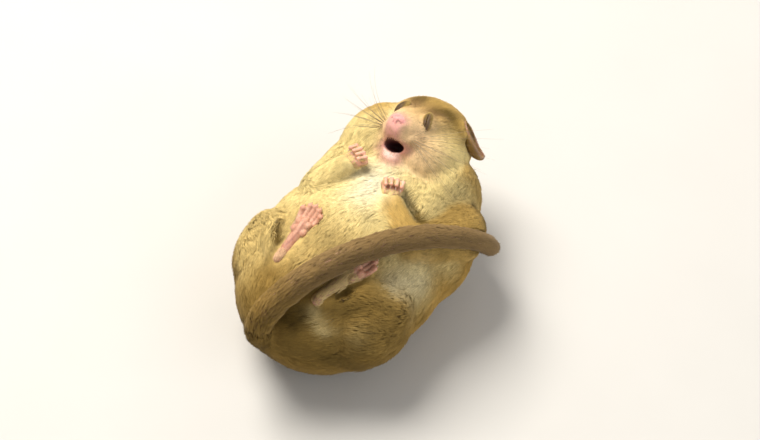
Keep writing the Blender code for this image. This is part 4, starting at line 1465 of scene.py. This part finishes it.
def earFields(ear, side):
    # short hair behind the ear and over its rim, lying towards the tip
    points, normals = meshPoints(ear.data), meshNormals(ear.data)
    matrix = earFrame(side)
    along = inMillimetres(points, matrix)[:, 1]
    turn = np.array(matrix)[:3, :3]
    behind = beyond(unit(normals @ np.linalg.inv(turn).T)[:, 2], -0.25, 0.35)
    way = lying(unit(turn[:, 1]), normals)
    brown = 0.75 + 0.25 * ease(along, 3.0, 8.0)
    base = beyond(along, 0.8, 3.6) * (0.25 + 0.75 * behind)
    return {"depth": 0.10 + 0.12 * behind + 0.10 * base, "way": way,
            "tone": rows(0.9, 0.62 * brown, 0, 0.10 * (1 - base)),
            "grows": np.clip(0.12 + behind + base, 0, 1)}


earFinish = makeEarFinish()
for side in sides:
    ear = makeEar(side)
    unwrap(ear)
    earField = earFields(ear, side)
    setTone(ear.data, "coatTone", earField["tone"])
    settle(ear, earFinish, "ear_skin", "ear_" + side)
    growHair("earCoat_" + side, ear, earField, 2.4, 50 + sides[side], 6000, "ear_skin")


whiskerSettings = {
    "out": {"left": (0.22, 0.0, 0.94), "right": (0.95, 0.0, 0.50)},
    "lie": {"left": (-0.86, 0.0, 0.66), "right": (-0.62, 0.0, 0.78)},
    "rises": (0.46, 0.26, 0.06, -0.14, -0.36),
    "lengths": (9.0, 13.0, 17.0, 19.5),
    "shift": (1.1, -0.9),  # from the foremost to the rearmost, in mm
    "radii": (0.042, 0.008),
    "sides": 4,
    "steps": 12,
    "colours": ((0.42, 0.31, 0.19), (0.22, 0.15, 0.09)),
}


def whiskerLine(start, outward, lie, length):
    # outwards at first, then bent to its lie
    bend = start + outward.normalized() * length * 0.45
    tip = bend + lie.normalized() * length * 0.55
    steps = whiskerSettings["steps"]
    shares = [k / (steps - 1) for k in range(steps)]
    return [start.lerp(bend, t).lerp(bend.lerp(tip, t), t) for t in shares]


def whiskerLines(side):
    # rows of hairs from the side of the muzzle, longer to the rear
    rng = np.random.default_rng(5 + sides[side])
    forward, up, out = whiskerPad[0]
    lengths = whiskerSettings["lengths"]
    foremost, rearmost = whiskerSettings["shift"]
    for row, rise in enumerate(whiskerSettings["rises"]):
        for column, length in enumerate(lengths):
            share = column / (len(lengths) - 1)
            shift = foremost + (rearmost - foremost) * share + 0.12 * (row % 2)
            outside = out + 0.9 - 0.35 * abs(shift) - 0.5 * abs(rise)
            start = Vector((forward + shift, up + 1.35 * rise, outside))
            lean = Vector((0.25 * (1 - share), rise, 0)) + Vector(rng.normal(size=3) * 0.05)
            outward = Vector(whiskerSettings["out"][side]) + lean
            lie = Vector(whiskerSettings["lie"][side]) + lean * 1.2
            yield whiskerLine(start, outward, lie, length * rng.uniform(0.88, 1.04))


def makeWhiskers(side):
    # each is a thin tube drawn out to a point
    places, faces = [], []
    ring = whiskerSettings["sides"]
    thick, thin = whiskerSettings["radii"]
    for line in whiskerLines(side):
        first, last = len(places), len(line) - 1
        for s, centre in enumerate(line):
            run = (line[min(s + 1, last)] - line[max(s - 1, 0)]).normalized()
            axis = run.cross(Vector((0.3, 0.9, 0.1))).normalized()
            other = run.cross(axis)
            radius = thick + (thin - thick) * s / last
            for j in range(ring):
                angle = 2 * math.pi * j / ring
                place = centre + (axis * math.cos(angle) + other * math.sin(angle)) * radius
                places.append(headFrame @ headSide(place, side))
        for s in range(last):
            for j in range(ring):
                a, b = first + s * ring + j, first + s * ring + (j + 1) % ring
                faces.append((a, b, b + ring, a + ring))
        faces.append(tuple(first + j for j in range(ring - 1, -1, -1)))
        faces.append(tuple(first + last * ring + j for j in range(ring)))
    mesh = bpy.data.meshes.new("hairs_" + side)
    mesh.from_pydata(places, [], faces)
    whiskers = linked("hairs_" + side, mesh)
    edited(whiskers, pointInwardsOut)
    whiskers.data.shade_smooth()
    return whiskers


whiskerFinish = plainFinish("whiskerFinish", 1.5, whiskerSettings["colours"], Roughness=0.4)
for side in sides:
    settle(makeWhiskers(side), whiskerFinish, "whisker", "whiskers_" + side)


# floor, lights and camera

viewSettings = {
    "azimuth": 39.0, "elevation": 55.0, "distance": 0.300, "lens": 71.05,
    "shift": ((380 - 372) / 760, (236 - 220) / 760),
}
floorSettings = {"size": 3.0, "colours": ((0.62, 0.61, 0.59), (0.58, 0.57, 0.55))}
lightSettings = (  # name, direction it comes from, distance, size, power, colour
    ("keyLight", (-0.45, 0.05, 0.88), 0.55, 0.30, 4.7, (1.0, 0.95, 0.87)),
    ("fillLight", (0.88, 0.05, 0.45), 0.70, 0.60, 2.0, (0.97, 0.98, 1.0)),
    ("backLight", (0.10, 0.90, 0.55), 0.70, 0.50, 0.9, (1.0, 0.98, 0.94)),
)
worldSettings = {"Color": (1.0, 0.96, 0.90, 1.0), "Strength": 0.28}

floorFinish = plainFinish("floorFinish", 30.0, floorSettings["colours"], Roughness=0.8)
deselect()
bpy.ops.mesh.primitive_plane_add(size=floorSettings["size"])
floor = bpy.context.object
floor.name = "floor"
floor.data.materials.append(floorFinish)

target = bodyPoint((0.0, 0.0, 0.0))
azimuth, elevation = (math.radians(viewSettings[key]) for key in ("azimuth", "elevation"))
level = math.cos(elevation)
towards = Vector((level * math.sin(azimuth), -level * math.cos(azimuth), math.sin(elevation)))
bpy.ops.object.camera_add(location=target + towards * viewSettings["distance"])
camera = bpy.context.object
camera.rotation_euler = towards.to_track_quat("Z", "Y").to_euler()
camera.data.lens = viewSettings["lens"]
camera.data.clip_start = 0.01
camera.data.shift_x, camera.data.shift_y = viewSettings["shift"]
bpy.context.scene.camera = camera

for name, direction, distant, size, power, colour in lightSettings:
    direction = Vector(direction).normalized()
    bpy.ops.object.light_add(type="AREA", location=target + direction * distant)
    light = bpy.context.object
    light.name = name
    light.rotation_euler = direction.to_track_quat("Z", "Y").to_euler()
    light.data.size = size
    light.data.energy = power
    light.data.color = colour

world = bpy.data.worlds.new("studio")
world.use_nodes = True
for key, value in worldSettings.items():
    world.node_tree.nodes["Background"].inputs[key].default_value = value
bpy.context.scene.world = world
bpy.context.scene.view_settings.view_transform = "Standard"
